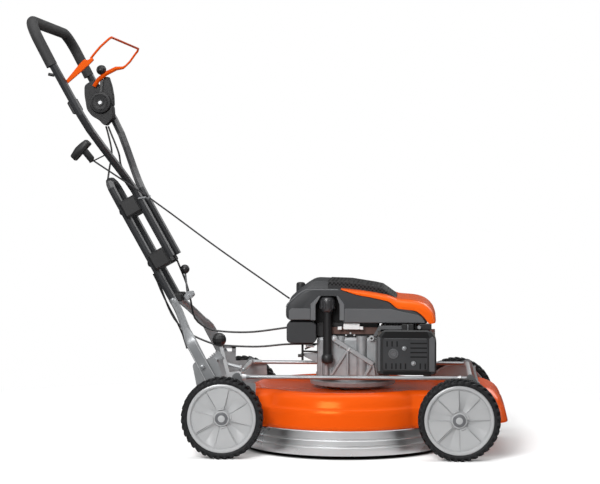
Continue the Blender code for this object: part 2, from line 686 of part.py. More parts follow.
def deck_loop(rise, drum_inset, nose_inset, side_inset):
    points = []
    half_width = DECK_HALF_WIDTH - side_inset
    drum_radius = DECK_RADIUS - drum_inset
    nose_reach = NOSE_REACH - nose_inset
    for step in range(DECK_OUTLINE_POINTS):
        angle = 2 * math.pi * step / DECK_OUTLINE_POINTS
        reach = nose_reach if math.cos(angle) > 0.0 else DECK_REAR - side_inset
        along = (abs(math.cos(angle)) / reach) ** DECK_CORNER_SHARPNESS
        across = (abs(math.sin(angle)) / half_width) ** DECK_CORNER_SHARPNESS
        radius = max(drum_radius, (along + across) ** (-1.0 / DECK_CORNER_SHARPNESS))
        points.append((radius * math.cos(angle), radius * math.sin(angle), DECK_ROOF + rise))
    return points


def make_deck_shell():
    loops = [deck_loop(*level) for level in DECK_LEVELS]
    hole = []
    for step in range(DECK_OUTLINE_POINTS):
        angle = 2 * math.pi * step / DECK_OUTLINE_POINTS
        hole.append((DECK_HOLE_RADIUS * math.cos(angle), DECK_HOLE_RADIUS * math.sin(angle), DECK_ROOF))
    loops.append(hole)
    deck = finish("deck_shell", skin_mesh("deck_shell", loops, False), orange_paint, datum)
    shell = deck.modifiers.new("wall", "SOLIDIFY")
    shell.thickness = DECK_WALL
    shell.offset = -1.0


def make_wear_ring():
    section = [(DECK_RADIUS + out, DECK_BOTTOM + rise) for out, rise in RING_SECTION]
    finish("wear_ring", turned_mesh("wear_ring", section, RING_STEPS), bright_steel, datum)


def notch_outline(end):
    """The way a tie bar goes through a side plate as the arms turn."""
    pivot = Vector(arm_pivot(end))
    reach = Vector(tie_bar_place(end)) - pivot
    turned = Vector((reach.x * math.cos(ADJUST_DROP_ANGLE) - reach.y * math.sin(ADJUST_DROP_ANGLE),
                     reach.x * math.sin(ADJUST_DROP_ANGLE) + reach.y * math.cos(ADJUST_DROP_ANGLE)))
    return rounded_strip(pivot + turned, pivot + reach, TIE_BAR_RADIUS + NOTCH_SPACE)


def plate_outline(end):
    """The outline of a side plate: its edge over the deck is set by the deck, the rest by the arm pivot."""
    pivot = arm_pivot(end)
    foot = (end * PLATE_FOOT_X, REAR_PLATE_FOOT_Z if end < 0 else FRONT_PLATE_FOOT_Z)
    shoulder = (end * PLATE_SHOULDER[0], PLATE_SHOULDER[1])
    if end < 0:
        heel = [moved(pivot, step) for step in REAR_PLATE_HEEL]
        return heel + [foot, shoulder] + [moved(pivot, step) for step in REAR_PLATE_TOP]
    toe = [moved(pivot, step) for step in FRONT_PLATE_TOE + FRONT_PLATE_TOP]
    return [shoulder, foot] + toe + [moved(pivot, FRONT_PLATE_BACK)]


def make_side_plate(end, side, side_name):
    low_y, high_y = between(side, PLATE_INNER_Y, PLATE_OUTER_Y)
    name = ("rear" if end < 0 else "front") + "_plate_" + side_name
    plate = finish(name, sheet_mesh(name, plate_outline(end), low_y, high_y), zinc_steel, datum, smooth=False)
    low_cut = low_y - CUT_THROUGH
    high_cut = high_y + CUT_THROUGH
    combine(plate, sheet_mesh(name + "_notch", notch_outline(end), low_cut, high_cut), "DIFFERENCE")
    pivot = arm_pivot(end)
    hole = round_mesh(name + "_hole", above_ground(pivot, low_cut), above_ground(pivot, high_cut),
                      ARM_PIN_RADIUS + RUNNING_GAP, 16)
    combine(plate, hole, "DIFFERENCE")
    if end < 0:
        add_handle_pin(plate, side)
        if side < 0:
            add_quadrant(plate)


def add_handle_pin(plate, side):
    """The pin that a handle leg folds on, with a head outside the leg's plate."""
    root = side * (PLATE_INNER_Y + PLATE_THICKNESS / 3)
    head_inner = side * (HANDLE_PLATE_Y + HANDLE_PLATE_THICKNESS + FIT_GAP)
    head_outer = head_inner + side * HANDLE_PIN_HEAD_HEIGHT
    pin_end = (head_inner + head_outer) / 2
    pin = round_mesh(plate.name + "_pin", above_ground(HANDLE_PIVOT, root), above_ground(HANDLE_PIVOT, pin_end),
                     HANDLE_PIN_RADIUS, 16)
    combine(plate, pin, "UNION")
    head = round_mesh(plate.name + "_head", above_ground(HANDLE_PIVOT, head_inner),
                      above_ground(HANDLE_PIVOT, head_outer), HANDLE_PIN_HEAD_RADIUS, 16)
    combine(plate, head, "UNION")


def make_front_strap():
    """A flat cross strap that ties the front plates together and serves as a carrying handle."""
    pivot = arm_pivot(1)
    plate_top = pivot[1] + FRONT_PLATE_TOP[0][1]
    low_x = pivot[0] + STRAP_X[0]
    high_x = pivot[0] + STRAP_X[1]
    bottom = plate_top + FIT_GAP
    foot_bottom = bottom - STRAP_FOOT_LENGTH
    inner = PLATE_OUTER_Y + FIT_GAP
    outer = inner + STRAP_FOOT_THICKNESS
    bar = box_mesh("front_cross_strap", (low_x, -outer, bottom), (high_x, outer, bottom + STRAP_THICKNESS))
    strap = finish("front_cross_strap", bar, zinc_steel, datum, smooth=False)
    for side, side_name in side_names():
        low_y, high_y = between(side, inner, outer - STRAP_FOOT_THICKNESS / 2)
        foot = box_mesh("strap_foot_" + side_name, (low_x, low_y, foot_bottom),
                        (high_x, high_y, bottom + STRAP_THICKNESS / 2))
        combine(strap, foot, "UNION")


def add_quadrant(plate):
    """A toothed arc beside the height lever, held off the right rear plate by a block."""
    pivot = Vector(arm_pivot(-1))
    outline = []
    first, last = QUADRANT_ANGLES
    for step in range(QUADRANT_TEETH + 1):
        angle = first + (last - first) * step / QUADRANT_TEETH
        outline.append((pivot.x + QUADRANT_INNER_RADIUS * math.cos(angle),
                        pivot.y + QUADRANT_INNER_RADIUS * math.sin(angle)))
    for step in range(2 * QUADRANT_TEETH, -1, -1):
        angle = first + (last - first) * step / (2 * QUADRANT_TEETH)
        reach = QUADRANT_OUTER_RADIUS - (0.0 if step % 2 else QUADRANT_TOOTH_DEPTH)
        outline.append((pivot.x + reach * math.cos(angle), pivot.y + reach * math.sin(angle)))
    arc = sheet_mesh("height_quadrant", outline, -QUADRANT_Y - QUADRANT_THICKNESS, -QUADRANT_Y)
    combine(plate, arc, "UNION")
    plate_side = -PLATE_INNER_Y - PLATE_THICKNESS / 3
    arc_side = -QUADRANT_Y - QUADRANT_THICKNESS / 3
    block = box_mesh("quadrant_block",
                     (pivot.x + QUADRANT_BLOCK_X[0], plate_side, pivot.y + QUADRANT_BLOCK_Z[0]),
                     (pivot.x + QUADRANT_BLOCK_X[1], arc_side, pivot.y + QUADRANT_BLOCK_Z[1]))
    combine(plate, block, "UNION")


# Wheels and height adjustment

def tyre_mesh():
    edge = TYRE_HALF_WIDTH
    section = (
        (TYRE_RADIUS, edge - 0.0055),
        (TYRE_RADIUS, -edge + 0.0055),
        (TYRE_RADIUS - 0.0020, -edge + 0.0020),
        (TYRE_RADIUS - 0.0070, -edge),
        (TYRE_INNER_RADIUS, -edge + 0.0010),
        (TYRE_INNER_RADIUS, edge - 0.0010),
        (TYRE_RADIUS - 0.0070, edge),
        (TYRE_RADIUS - 0.0020, edge - 0.0020),
    )
    return turned_mesh("tyre", section, WHEEL_STEPS, turn_to_y=True)


def rim_mesh():
    lip = TYRE_INNER_RADIUS - FIT_GAP
    section = (
        (0.0, 0.0195),
        (0.0090, 0.0195),
        (0.0200, 0.0165),
        (0.0215, 0.0095),
        (lip - 0.0242, 0.0080),
        (lip - 0.0122, 0.0195),
        (lip, 0.0205),
        (lip, -0.0200),
        (lip - 0.0042, -0.0200),
        (lip - 0.0062, 0.0100),
        (lip - 0.0222, 0.0020),
        (HUB_BORE_RADIUS + HUB_WALL + 0.0010, 0.0020),
        (HUB_BORE_RADIUS + HUB_WALL, -HUB_BACK_REACH),
        (HUB_BORE_RADIUS, -HUB_BACK_REACH),
        (HUB_BORE_RADIUS, HUB_BORE_DEPTH),
        (0.0, HUB_BORE_DEPTH),
    )
    return turned_mesh("rim", section, WHEEL_STEPS, turn_to_y=True, end_on_axis=True)


def make_wheels():
    for (end, side), marker in wheel_markers.items():
        end_name = "rear" if end < 0 else "front"
        side_name = "right" if side < 0 else "left"
        for kind, maker, paint in (("tyre", tyre_mesh, tyre_rubber), ("rim", rim_mesh, grey_plastic)):
            name = kind + "_" + end_name + "_" + side_name
            piece = finish(name, maker(), paint, marker)
            piece.location = (0.0, 0.0, 0.0)
            piece.rotation_euler = (0.0, 0.0, 0.0 if side < 0 else math.pi)


def make_arm(end, side, side_name, marker):
    """A crank arm: a flat plate with a pivot pin inwards and a stub axle outwards."""
    end_name = "rear" if end < 0 else "front"
    name = end_name + "_arm_" + side_name
    pivot = Vector(arm_pivot(end))
    bar = Vector(tie_bar_place(end))
    axle = Vector((end * WHEELBASE / 2, AXLE_HEIGHT))
    low_y, high_y = between(side, ARM_INNER_Y, ARM_INNER_Y + ARM_THICKNESS)
    arm = finish(name, sheet_mesh(name, rounded_strip(pivot, axle, ARM_BOSS_RADIUS), low_y, high_y),
                 zinc_steel, marker, smooth=False)
    rise = sheet_mesh(name + "_rise", rounded_strip(pivot, bar, ARM_BOSS_RADIUS - ARM_RISE_INSET),
                      low_y + FIT_GAP, high_y - FIT_GAP)
    combine(arm, rise, "UNION")
    root = side * (ARM_INNER_Y + ARM_WELD_DEPTH)
    pin_end = side * (PLATE_INNER_Y + 2 * FIT_GAP)
    pin = round_mesh(name + "_pin", above_ground(pivot, pin_end), above_ground(pivot, root), ARM_PIN_RADIUS, 16)
    combine(arm, pin, "UNION")
    stub_end = side * (WHEEL_MID_Y + HUB_BORE_DEPTH - 4 * FIT_GAP)
    stub = round_mesh(name + "_stub", above_ground(axle, root), above_ground(axle, stub_end),
                      STUB_AXLE_RADIUS, 16)
    combine(arm, stub, "UNION")
    hub_back = side * (WHEEL_MID_Y - HUB_BACK_REACH - FIT_GAP)
    shoulder = round_mesh(name + "_shoulder", above_ground(axle, root), above_ground(axle, hub_back),
                          AXLE_SHOULDER_RADIUS, 16)
    combine(arm, shoulder, "UNION")


def make_tie_bar(end, marker):
    name = ("rear" if end < 0 else "front") + "_tie_bar"
    place = tie_bar_place(end)
    reach = ARM_INNER_Y - FIT_GAP
    bar = round_mesh(name, above_ground(place, -reach), above_ground(place, reach), TIE_BAR_RADIUS, 16)
    finish(name, bar, bright_steel, marker)


def make_link_rod(side, side_name):
    """A rod with an eye round each tie bar, so both axles turn together."""
    name = "link_rod_" + side_name
    rear = tie_bar_place(-1)
    front = tie_bar_place(1)
    y = side * LINK_ROD_Y
    bar = round_mesh(name, above_ground(rear, y), above_ground(front, y), LINK_ROD_RADIUS, 16)
    rod = finish(name, bar, bright_steel, link_marker)
    for place, end_name in ((rear, "rear"), (front, "front")):
        eye = round_mesh(name + end_name, above_ground(place, y - LINK_EYE_HALF_WIDTH),
                         above_ground(place, y + LINK_EYE_HALF_WIDTH), LINK_EYE_RADIUS, 16)
        combine(rod, eye, "UNION")
    collar = round_mesh(name + "_collar", (rear[0] + COLLAR_X[0], y, rear[1]),
                        (rear[0] + COLLAR_X[1], y, rear[1]), COLLAR_RADIUS, 16, COLLAR_END_RADIUS)
    combine(rod, collar, "UNION")
    for place, end_name in ((rear, "rear"), (front, "front")):
        bore = round_mesh(name + end_name + "_bore", above_ground(place, y - 2 * LINK_EYE_HALF_WIDTH),
                          above_ground(place, y + 2 * LINK_EYE_HALF_WIDTH), TIE_BAR_RADIUS + RUNNING_GAP, 16)
        combine(rod, bore, "DIFFERENCE")


def make_height_lever():
    bar = Vector(tie_bar_place(-1))
    foot = Vector(moved(arm_pivot(-1), LEVER_FOOT))
    knob = Vector(moved(arm_pivot(-1), LEVER_KNOB_CENTRE))
    stem_top = foot + (knob - foot) * LEVER_STEM_REACH
    low_y = -LEVER_Y - LEVER_THICKNESS / 2
    high_y = -LEVER_Y + LEVER_THICKNESS / 2
    stem = sheet_mesh("height_lever", rounded_strip(foot, stem_top, LEVER_WIDTH / 2), low_y, high_y)
    lever = finish("height_lever", stem, bright_steel, rear_marker, smooth=False)
    heel_half_width = TIE_BAR_RADIUS + FIT_GAP + LEVER_HEEL_WALL
    heel = sheet_mesh("lever_heel", rounded_strip(bar, foot, heel_half_width), low_y - LEVER_THICKNESS / 3,
                      high_y + LEVER_THICKNESS / 3)
    combine(lever, heel, "UNION")
    bore = round_mesh("lever_bore", above_ground(bar, low_y - CUT_THROUGH),
                      above_ground(bar, high_y + CUT_THROUGH),
                      TIE_BAR_RADIUS + FIT_GAP, 16)
    combine(lever, bore, "DIFFERENCE")
    ball = finish("height_knob", ball_mesh("height_knob", above_ground(knob, -LEVER_Y), LEVER_KNOB_RADIUS),
                  black_plastic, rear_marker)
    slot = sheet_mesh("knob_slot", rounded_strip(foot, stem_top, LEVER_WIDTH / 2 + FIT_GAP),
                      low_y - FIT_GAP, high_y + FIT_GAP)
    combine(ball, slot, "DIFFERENCE")


# Engine

def make_engine_base():
    section = (
        (BASE_RADIUS - 0.003, BASE_TOP),
        (BASE_RADIUS, BASE_TOP - 0.003),
        (BASE_RADIUS - 0.002, BASE_BOTTOM + 0.003),
        (BASE_RADIUS - 0.012, BASE_BOTTOM),
        (BASE_SPIGOT_RADIUS, BASE_BOTTOM),
        (BASE_SPIGOT_RADIUS, DECK_ROOF + FIT_GAP),
        (BASE_BORE_RADIUS, DECK_ROOF + FIT_GAP),
        (BASE_BORE_RADIUS, BASE_TOP),
    )
    base = turned_mesh("engine_base", section, 32, centre=(BASE_CENTRE_X, 0.0, 0.0))
    finish("engine_base", base, grey_paint, datum)


def make_crankcase():
    low = (CRANKCASE_X[0], -CRANKCASE_HALF_WIDTH, CRANKCASE_BOTTOM)
    high = (CRANKCASE_X[1], CRANKCASE_HALF_WIDTH, CRANKCASE_TOP)
    case = finish("crankcase", box_mesh("crankcase", low, high, CRANKCASE_BEVEL), cast_aluminium, datum)
    flange = round_mesh("crankcase_flange", (BASE_CENTRE_X, 0.0, BASE_TOP + FIT_GAP),
                        (BASE_CENTRE_X, 0.0, BASE_TOP + FLANGE_HEIGHT), FLANGE_RADIUS, 40)
    combine(case, flange, "UNION")
    bore = round_mesh("crankcase_bore", (0.0, 0.0, BASE_TOP - CUT_THROUGH),
                      (0.0, 0.0, CRANKCASE_TOP + CUT_THROUGH),
                      CRANK_RADIUS + RUNNING_GAP, 24)
    combine(case, bore, "DIFFERENCE")


def make_cylinder():
    """The finned cylinder block and head, lying forward of the crankcase."""
    x_low = CRANKCASE_X[1] + FIT_GAP
    body = box_mesh("cylinder_block", (x_low, -CYLINDER_HALF_WIDTH, CYLINDER_Z[0]),
                    (CYLINDER_FRONT, CYLINDER_HALF_WIDTH, CYLINDER_Z[1]), 0.004, 1)
    block = finish("cylinder_block", body, cast_aluminium, datum)
    for index in range(FIN_COUNT):
        x = x_low + FIN_START + FIN_PITCH * index
        fin = box_mesh("fin_" + str(index), (x, -FIN_HALF_WIDTH, FIN_BOTTOM),
                       (x + FIN_THICKNESS, FIN_HALF_WIDTH, SHROUD_BOTTOM - FIT_GAP))
        combine(block, fin, "UNION")


def drawn_in(profile):
    """The same profile drawn in towards its middle, for the rounded sides."""
    middle_x = sum(x for x, z in profile) / len(profile)
    middle_z = sum(z for x, z in profile) / len(profile)
    return [(middle_x + (x - middle_x) * SHROUD_DRAW_IN, middle_z + (z - middle_z) * SHROUD_DRAW_IN)
            for x, z in profile]


def stations_mesh(name, stations):
    loops = [[(x, y, z) for x, z in profile] for y, profile in stations]
    return skin_mesh(name, loops, True)


def make_shroud():
    edge = SHROUD_HALF_WIDTH - SHROUD_EDGE
    stations = [(-SHROUD_HALF_WIDTH, drawn_in(SHROUD_SIDE_PROFILE)), (-edge, SHROUD_SIDE_PROFILE),
                (-SHOULDER_HALF_WIDTH, SHROUD_SIDE_PROFILE), (-CROWN_HALF_WIDTH, SHROUD_CROWN_PROFILE),
                (CROWN_HALF_WIDTH, SHROUD_CROWN_PROFILE), (SHOULDER_HALF_WIDTH, SHROUD_SIDE_PROFILE),
                (edge, SHROUD_SIDE_PROFILE), (SHROUD_HALF_WIDTH, drawn_in(SHROUD_SIDE_PROFILE))]
    shroud = finish("blower_shroud", stations_mesh("blower_shroud", stations), dark_plastic, datum)
    below = SHROUD_BOTTOM - 3 * CUT_THROUGH
    cavity = round_mesh("shroud_cavity", (0.0, 0.0, below), (0.0, 0.0, CAVITY_TOP), CAVITY_RADIUS, 32)
    combine(shroud, cavity, "DIFFERENCE")
    recess = box_mesh("dipstick_recess", (RECESS_X[0], -SHROUD_HALF_WIDTH - CUT_THROUGH, below),
                      (RECESS_X[1], -RECESS_INNER_Y, RECESS_TOP))
    combine(shroud, recess, "DIFFERENCE")
    neck = round_mesh("fuel_neck", (*FUEL_CAP_XY, FUEL_NECK_Z[0]), (*FUEL_CAP_XY, FUEL_NECK_Z[1]),
                      FUEL_NECK_RADIUS, 16)
    combine(shroud, neck, "UNION")


def make_trim():
    """The coloured bezel over the shroud's front, following its side profile from the shoulder down."""
    lifted = [(x + FIT_GAP, z + TRIM_LIFT) for x, z in SHROUD_SIDE_PROFILE[6:12]]
    outline = lifted + list(TRIM_FRONT)
    edge = SHROUD_HALF_WIDTH - SHROUD_EDGE
    stations = [(-SHROUD_HALF_WIDTH, drawn_in(outline)), (-edge, outline), (edge, outline),
                (SHROUD_HALF_WIDTH, drawn_in(outline))]
    trim = finish("shroud_trim", stations_mesh("shroud_trim", stations), orange_paint, datum)
    half_opening = SHOULDER_HALF_WIDTH + FIT_GAP
    behind = SHROUD_SIDE_PROFILE[6][0] - CUT_THROUGH
    opening = box_mesh("trim_opening", (behind, -half_opening, SHROUD_BOTTOM - CUT_THROUGH),
                       (TRIM_OPENING_FRONT, half_opening, SHROUD_CROWN_PROFILE[4][1]))
    combine(trim, opening, "DIFFERENCE")


def make_grille():
    half_width = CROWN_HALF_WIDTH - GRILLE_EDGE
    grille = sheet_mesh("starter_grille", GRILLE_OUTLINE, -half_width, half_width)
    finish("starter_grille", grille, black_plastic, datum, smooth=False)


def make_filter_cover():
    cover = box_mesh("air_filter_cover", (FILTER_BACK, FILTER_Y[0], FILTER_Z[0]),
                     (CRANKCASE_X[0] - FIT_GAP, FILTER_Y[1], FILTER_Z[1]), FILTER_BEVEL)
    finish("air_filter_cover", cover, dark_plastic, datum)


def make_oil_filler():
    x, y = OIL_TUBE_XY
    section = (
        (0.0, OIL_TUBE_TOP),
        (OIL_TUBE_RADIUS, OIL_TUBE_TOP),
        (OIL_TUBE_RADIUS, OIL_COLLAR_Z[1] + 0.0020),
        (OIL_COLLAR_RADIUS, OIL_COLLAR_Z[1]),
        (OIL_COLLAR_RADIUS, OIL_COLLAR_Z[0]),
        (0.0, OIL_COLLAR_Z[0]),
    )
    tube = turned_mesh("oil_filler_tube", section, 20, centre=(x, y, 0.0), end_on_axis=True)
    finish("oil_filler_tube", tube, black_plastic, datum)
    seat = OIL_TUBE_TOP + FIT_GAP
    oil_marker = add_marker("oil_cap_axis", (x, y, seat), datum)
    section = [(OIL_CAP_RADIUS - inset, seat + rise) for inset, rise in OIL_CAP_SECTION]
    section = [(0.0, section[0][1])] + section + [(0.0, seat)]
    cap = turned_mesh("oil_cap", section, 24, centre=(x, y, 0.0), end_on_axis=True)
    finish("oil_cap", cap, black_plastic, oil_marker)


def make_fuel_cap():
    x, y = FUEL_CAP_XY
    seat = FUEL_NECK_Z[1] + FIT_GAP
    top = seat + FUEL_CAP_HEIGHT
    fuel_marker = add_marker("fuel_cap_axis", (x, y, seat), datum)
    section = (
        (0.0, top),
        (FUEL_CAP_RADIUS - 0.0020, top),
        (FUEL_CAP_RADIUS, top - 0.0020),
        (FUEL_CAP_RADIUS, seat),
        (0.0, seat),
    )
    cap = turned_mesh("fuel_cap", section, 24, centre=(x, y, 0.0), end_on_axis=True)
    finish("fuel_cap", cap, black_plastic, fuel_marker)


def make_muffler():
    inset = GUARD_WALL + MUFFLER_GAP
    low = (GUARD_X[0] + inset, GUARD_Y[0] + inset, GUARD_Z[0] + inset)
    high = (GUARD_X[1] - inset, -FIN_HALF_WIDTH - FIT_GAP, GUARD_Z[1] - inset)
    muffler = finish("muffler", box_mesh("muffler", low, high), grey_paint, datum)
    waist = box_mesh("muffler_waist", (GUARD_X[0] - CUT_THROUGH, GUARD_Y[1] + MUFFLER_WAIST[0],
                                       GUARD_Z[0] - CUT_THROUGH),
                     (CRANKCASE_X[1] + MUFFLER_WAIST[1], high[1] + CUT_THROUGH, GUARD_Z[1] + CUT_THROUGH))
    combine(muffler, waist, "DIFFERENCE")


def make_muffler_guard():
    low = (GUARD_X[0], GUARD_Y[0], GUARD_Z[0])
    high = (GUARD_X[1], GUARD_Y[1], GUARD_Z[1])
    guard = finish("muffler_guard", box_mesh("muffler_guard", low, high, GUARD_BEVEL, 1), black_plastic, datum)
    wall = GUARD_WALL
    pocket = box_mesh("guard_pocket", (low[0] + wall, low[1] + wall, low[2] + wall),
                      (high[0] - wall, high[1] + CUT_THROUGH, high[2] - wall))
    combine(guard, pocket, "DIFFERENCE")
    slots = bmesh.new()
    for index in range(SIDE_SLOT_COUNT):
        middle = (SIDE_SLOT_X, low[1], SIDE_SLOT_TOP - SIDE_SLOT_PITCH * index)
        size = Matrix.Diagonal((SIDE_SLOT_SIZE[0], GUARD_SLOT_DEPTH, SIDE_SLOT_SIZE[1], 1.0))
        bmesh.ops.create_cube(slots, size=1.0, matrix=Matrix.Translation(middle) @ size)
    for x in FOOT_SLOT_XS:
        size = Matrix.Diagonal((FOOT_SLOT_SIZE[0], GUARD_SLOT_DEPTH, FOOT_SLOT_SIZE[1], 1.0))
        bmesh.ops.create_cube(slots, size=1.0, matrix=Matrix.Translation((x, low[1], FOOT_SLOT_Z)) @ size)
    combine(guard, to_mesh("guard_slots", slots), "DIFFERENCE")


def make_rotor():
    """The crankshaft with its flywheel above and the blade below."""
    section = ((0.0, CRANK_TOP), (CRANK_RADIUS, CRANK_TOP), (CRANK_RADIUS, CRANK_BOTTOM), (0.0, CRANK_BOTTOM))
    finish("crankshaft", turned_mesh("crankshaft", section, 20, end_on_axis=True), bright_steel, blade_marker)
    hub_bottom = CRANK_TOP + FIT_GAP
    section = ((0.0, FLYWHEEL_Z[1]), (FLYWHEEL_RADIUS, FLYWHEEL_Z[1]), (FLYWHEEL_RADIUS, FLYWHEEL_Z[0]),
               (FLYWHEEL_HUB_RADIUS, hub_bottom), (0.0, hub_bottom))
    finish("flywheel", turned_mesh("flywheel", section, 28, end_on_axis=True), cast_aluminium, blade_marker)
    top = CRANK_BOTTOM - FIT_GAP
    bottom = BLADE_Z[1] + FIT_GAP
    section = ((0.0, top), (CARRIER_NECK_RADIUS, top), (CARRIER_NECK_RADIUS + 0.0020, bottom + 0.0100),
               (CARRIER_RADIUS, bottom + 0.0070), (CARRIER_RADIUS, bottom), (0.0, bottom))
    carrier = turned_mesh("blade_carrier", section, 24, end_on_axis=True)
    finish("blade_carrier", carrier, cast_aluminium, blade_marker)
    make_blade()
    bolt_top = BLADE_Z[0] - FIT_GAP
    bolt = round_mesh("blade_bolt", (0.0, 0.0, bolt_top - BLADE_BOLT_HEIGHT), (0.0, 0.0, bolt_top),
                      BLADE_BOLT_RADIUS, 6)
    finish("blade_bolt", bolt, zinc_steel, blade_marker, smooth=False)


def make_blade():
    """A flat bar with one corner ground off at each end."""
    tip = BLADE_HALF_LENGTH
    half = BLADE_HALF_WIDTH
    along, across = BLADE_CORNER
    corners = ((-tip, -half), (tip - along, -half), (tip, -half + across), (tip, half), (-tip + along, half),
               (-tip, half - across))
    bm = bmesh.new()
    face = bm.faces.new([bm.verts.new((x, y, BLADE_Z[0])) for x, y in corners])
    pushed = bmesh.ops.extrude_face_region(bm, geom=[face])
    raised = [item for item in pushed["geom"] if isinstance(item, bmesh.types.BMVert)]
    bmesh.ops.translate(bm, verts=raised, vec=(0.0, 0.0, BLADE_Z[1] - BLADE_Z[0]))
    finish("blade", to_mesh("blade", bm), zinc_steel, blade_marker, smooth=False)


# Handle

def make_handle_leg(side, side_name):
    """A flat foot plate on the fold pivot, with the leg tube running up and in from it."""
    name = "handle_leg_" + side_name
    low_y, high_y = between(side, HANDLE_PLATE_Y, HANDLE_PLATE_Y + HANDLE_PLATE_THICKNESS)
    ends = [moved(HANDLE_PIVOT, step) for step in HANDLE_PLATE_ENDS]
    outline = rounded_strip(ends[0], ends[1], HANDLE_PLATE_WIDTH / 2)
    leg = finish(name, sheet_mesh(name, outline, low_y, high_y), zinc_steel, handle_marker)
    plate_y = HANDLE_PLATE_Y + HANDLE_PLATE_THICKNESS / 2
    points = []
    for run, rise, share in LEG_COURSE:
        y = LOWER_SPINE_HALF_WIDTH + (plate_y - LOWER_SPINE_HALF_WIDTH) * share
        points.append(above_ground(moved(HANDLE_PIVOT, (run, rise)), side * y))
    path = smooth_path(points, 0.012)
    end_height = LOOP_BOTTOM_Z - FIT_GAP
    for height in (end_height - LEG_STRAIGHT_END, end_height):
        path.append(Vector(on_spine(LOWER_SPINE, height, side * LOWER_SPINE_HALF_WIDTH)))
    combine(leg, tube_mesh(name + "_tube", path, HANDLE_TUBE_RADIUS), "UNION")
    hole = round_mesh(name + "_hole", above_ground(HANDLE_PIVOT, low_y - CUT_THROUGH),
                      above_ground(HANDLE_PIVOT, high_y + CUT_THROUGH), HANDLE_PIN_RADIUS + RUNNING_GAP, 16)
    combine(leg, hole, "DIFFERENCE")


def make_lower_loop():
    straight = LOWER_SPINE_HALF_WIDTH
    right = [(LOOP_BOTTOM_Z, straight), (LOOP_BOTTOM_Z + LOOP_FIRST_STRAIGHT, straight)]
    right += [(LOOP_TOP_Z - drop, straight - inset) for drop, inset in LOOP_BEND]
    points = [on_spine(LOWER_SPINE, height, -half_width) for height, half_width in right]
    points.append(on_spine(LOWER_SPINE, LOOP_TOP_Z, 0.0))
    points += [on_spine(LOWER_SPINE, height, half_width) for height, half_width in reversed(right)]
    loop = tube_mesh("lower_loop", smooth_path(points, 0.060), HANDLE_TUBE_RADIUS)
    finish("lower_loop", loop, dark_tube_paint, handle_marker)


def make_knuckle():
    """The cross block between the legs that the tilt lock works on."""
    inner = LOWER_SPINE_HALF_WIDTH - HANDLE_TUBE_RADIUS - FIT_GAP
    low = moved(HANDLE_PIVOT, (KNUCKLE_X[0], KNUCKLE_Z[0]))
    high = moved(HANDLE_PIVOT, (KNUCKLE_X[1], KNUCKLE_Z[1]))
    knuckle = box_mesh("spine_knuckle", above_ground(low, -inner), above_ground(high, inner), 0.003, 1)
    finish("spine_knuckle", knuckle, black_plastic, handle_marker)


def make_clamp(name, height):
    """A block across the spine with a groove round each tube that passes it."""
    rise = Vector((-SPINE_RUN_PER_RISE, 0.0, 1.0)).normalized()
    out = Vector((rise.z, 0.0, -rise.x))
    middle = Vector(on_spine(LOWER_SPINE, height, 0.0)) + out * CLAMP_OFFSET
    turn = Matrix((rise, Vector((0.0, 1.0, 0.0)), out)).transposed().to_4x4()
    bm = bmesh.new()
    size = Matrix.Diagonal((CLAMP_SIZE, 2 * CLAMP_HALF_LENGTH, CLAMP_SIZE, 1.0))
    bmesh.ops.create_cube(bm, size=1.0, matrix=Matrix.Translation(middle) @ turn @ size)
    bmesh.ops.bevel(bm, geom=bm.edges[:], offset=CLAMP_BEVEL, segments=1, profile=0.5, affect="EDGES",
                    material=-1)
    clamp = finish(name, to_mesh(name, bm), black_plastic, handle_marker)
    for side, side_name in side_names():
        for spine, half_width, spine_name in ((LOWER_SPINE, LOWER_SPINE_HALF_WIDTH, "lower"),
                                              (UPPER_SPINE, UPPER_SPINE_HALF_WIDTH, "upper")):
            start = on_spine(spine, height - 2 * CLAMP_SIZE, side * half_width)
            end = on_spine(spine, height + 2 * CLAMP_SIZE, side * half_width)
            groove = round_mesh(name + side_name + spine_name, start, end,
                                HANDLE_TUBE_RADIUS + CLAMP_BORE_GAP, 24)
            combine(clamp, groove, "DIFFERENCE")


def make_upper_tube(side, side_name):
    name = "upper_tube_" + side_name
    course = [(UPPER_TUBE_BOTTOM_Z, 0.0)]
    course += [(UPPER_SPINE[1] + rise, share) for rise, share in TUBE_FLARE]
    course.append((GRIP_END_Z - FIT_GAP, 1.0))
    flare = GRIP_HALF_WIDTH - UPPER_SPINE_HALF_WIDTH
    points = [on_spine(UPPER_SPINE, height, side * (UPPER_SPINE_HALF_WIDTH + flare * share))
              for height, share in course]
    tube = tube_mesh(name, smooth_path(points, 0.050), HANDLE_TUBE_RADIUS)
    finish(name, tube, dark_tube_paint, telescope_marker)


def make_grip():
    right = [(GRIP_END_Z, GRIP_HALF_WIDTH)]
    right += [(GRIP_TOP_Z - drop, GRIP_HALF_WIDTH - inset) for drop, inset in GRIP_BEND]
    points = [on_spine(UPPER_SPINE, height, -half_width) for height, half_width in right]
    points.append(on_spine(UPPER_SPINE, GRIP_TOP_Z, 0.0))
    points += [on_spine(UPPER_SPINE, height, half_width) for height, half_width in reversed(right)]
    grip = tube_mesh("handle_grip", smooth_path(points, 0.060), GRIP_RADIUS)
    finish("handle_grip", grip, black_plastic, telescope_marker)


def make_control_box():
    outline = [moved(GRIP_END, step) for step in reversed(BOX_OUTLINE)]
    box = sheet_mesh("control_box", outline, BOX_INNER_Y, BOX_OUTER_Y, BOX_BEVEL)
    finish("control_box", box, black_plastic, telescope_marker)


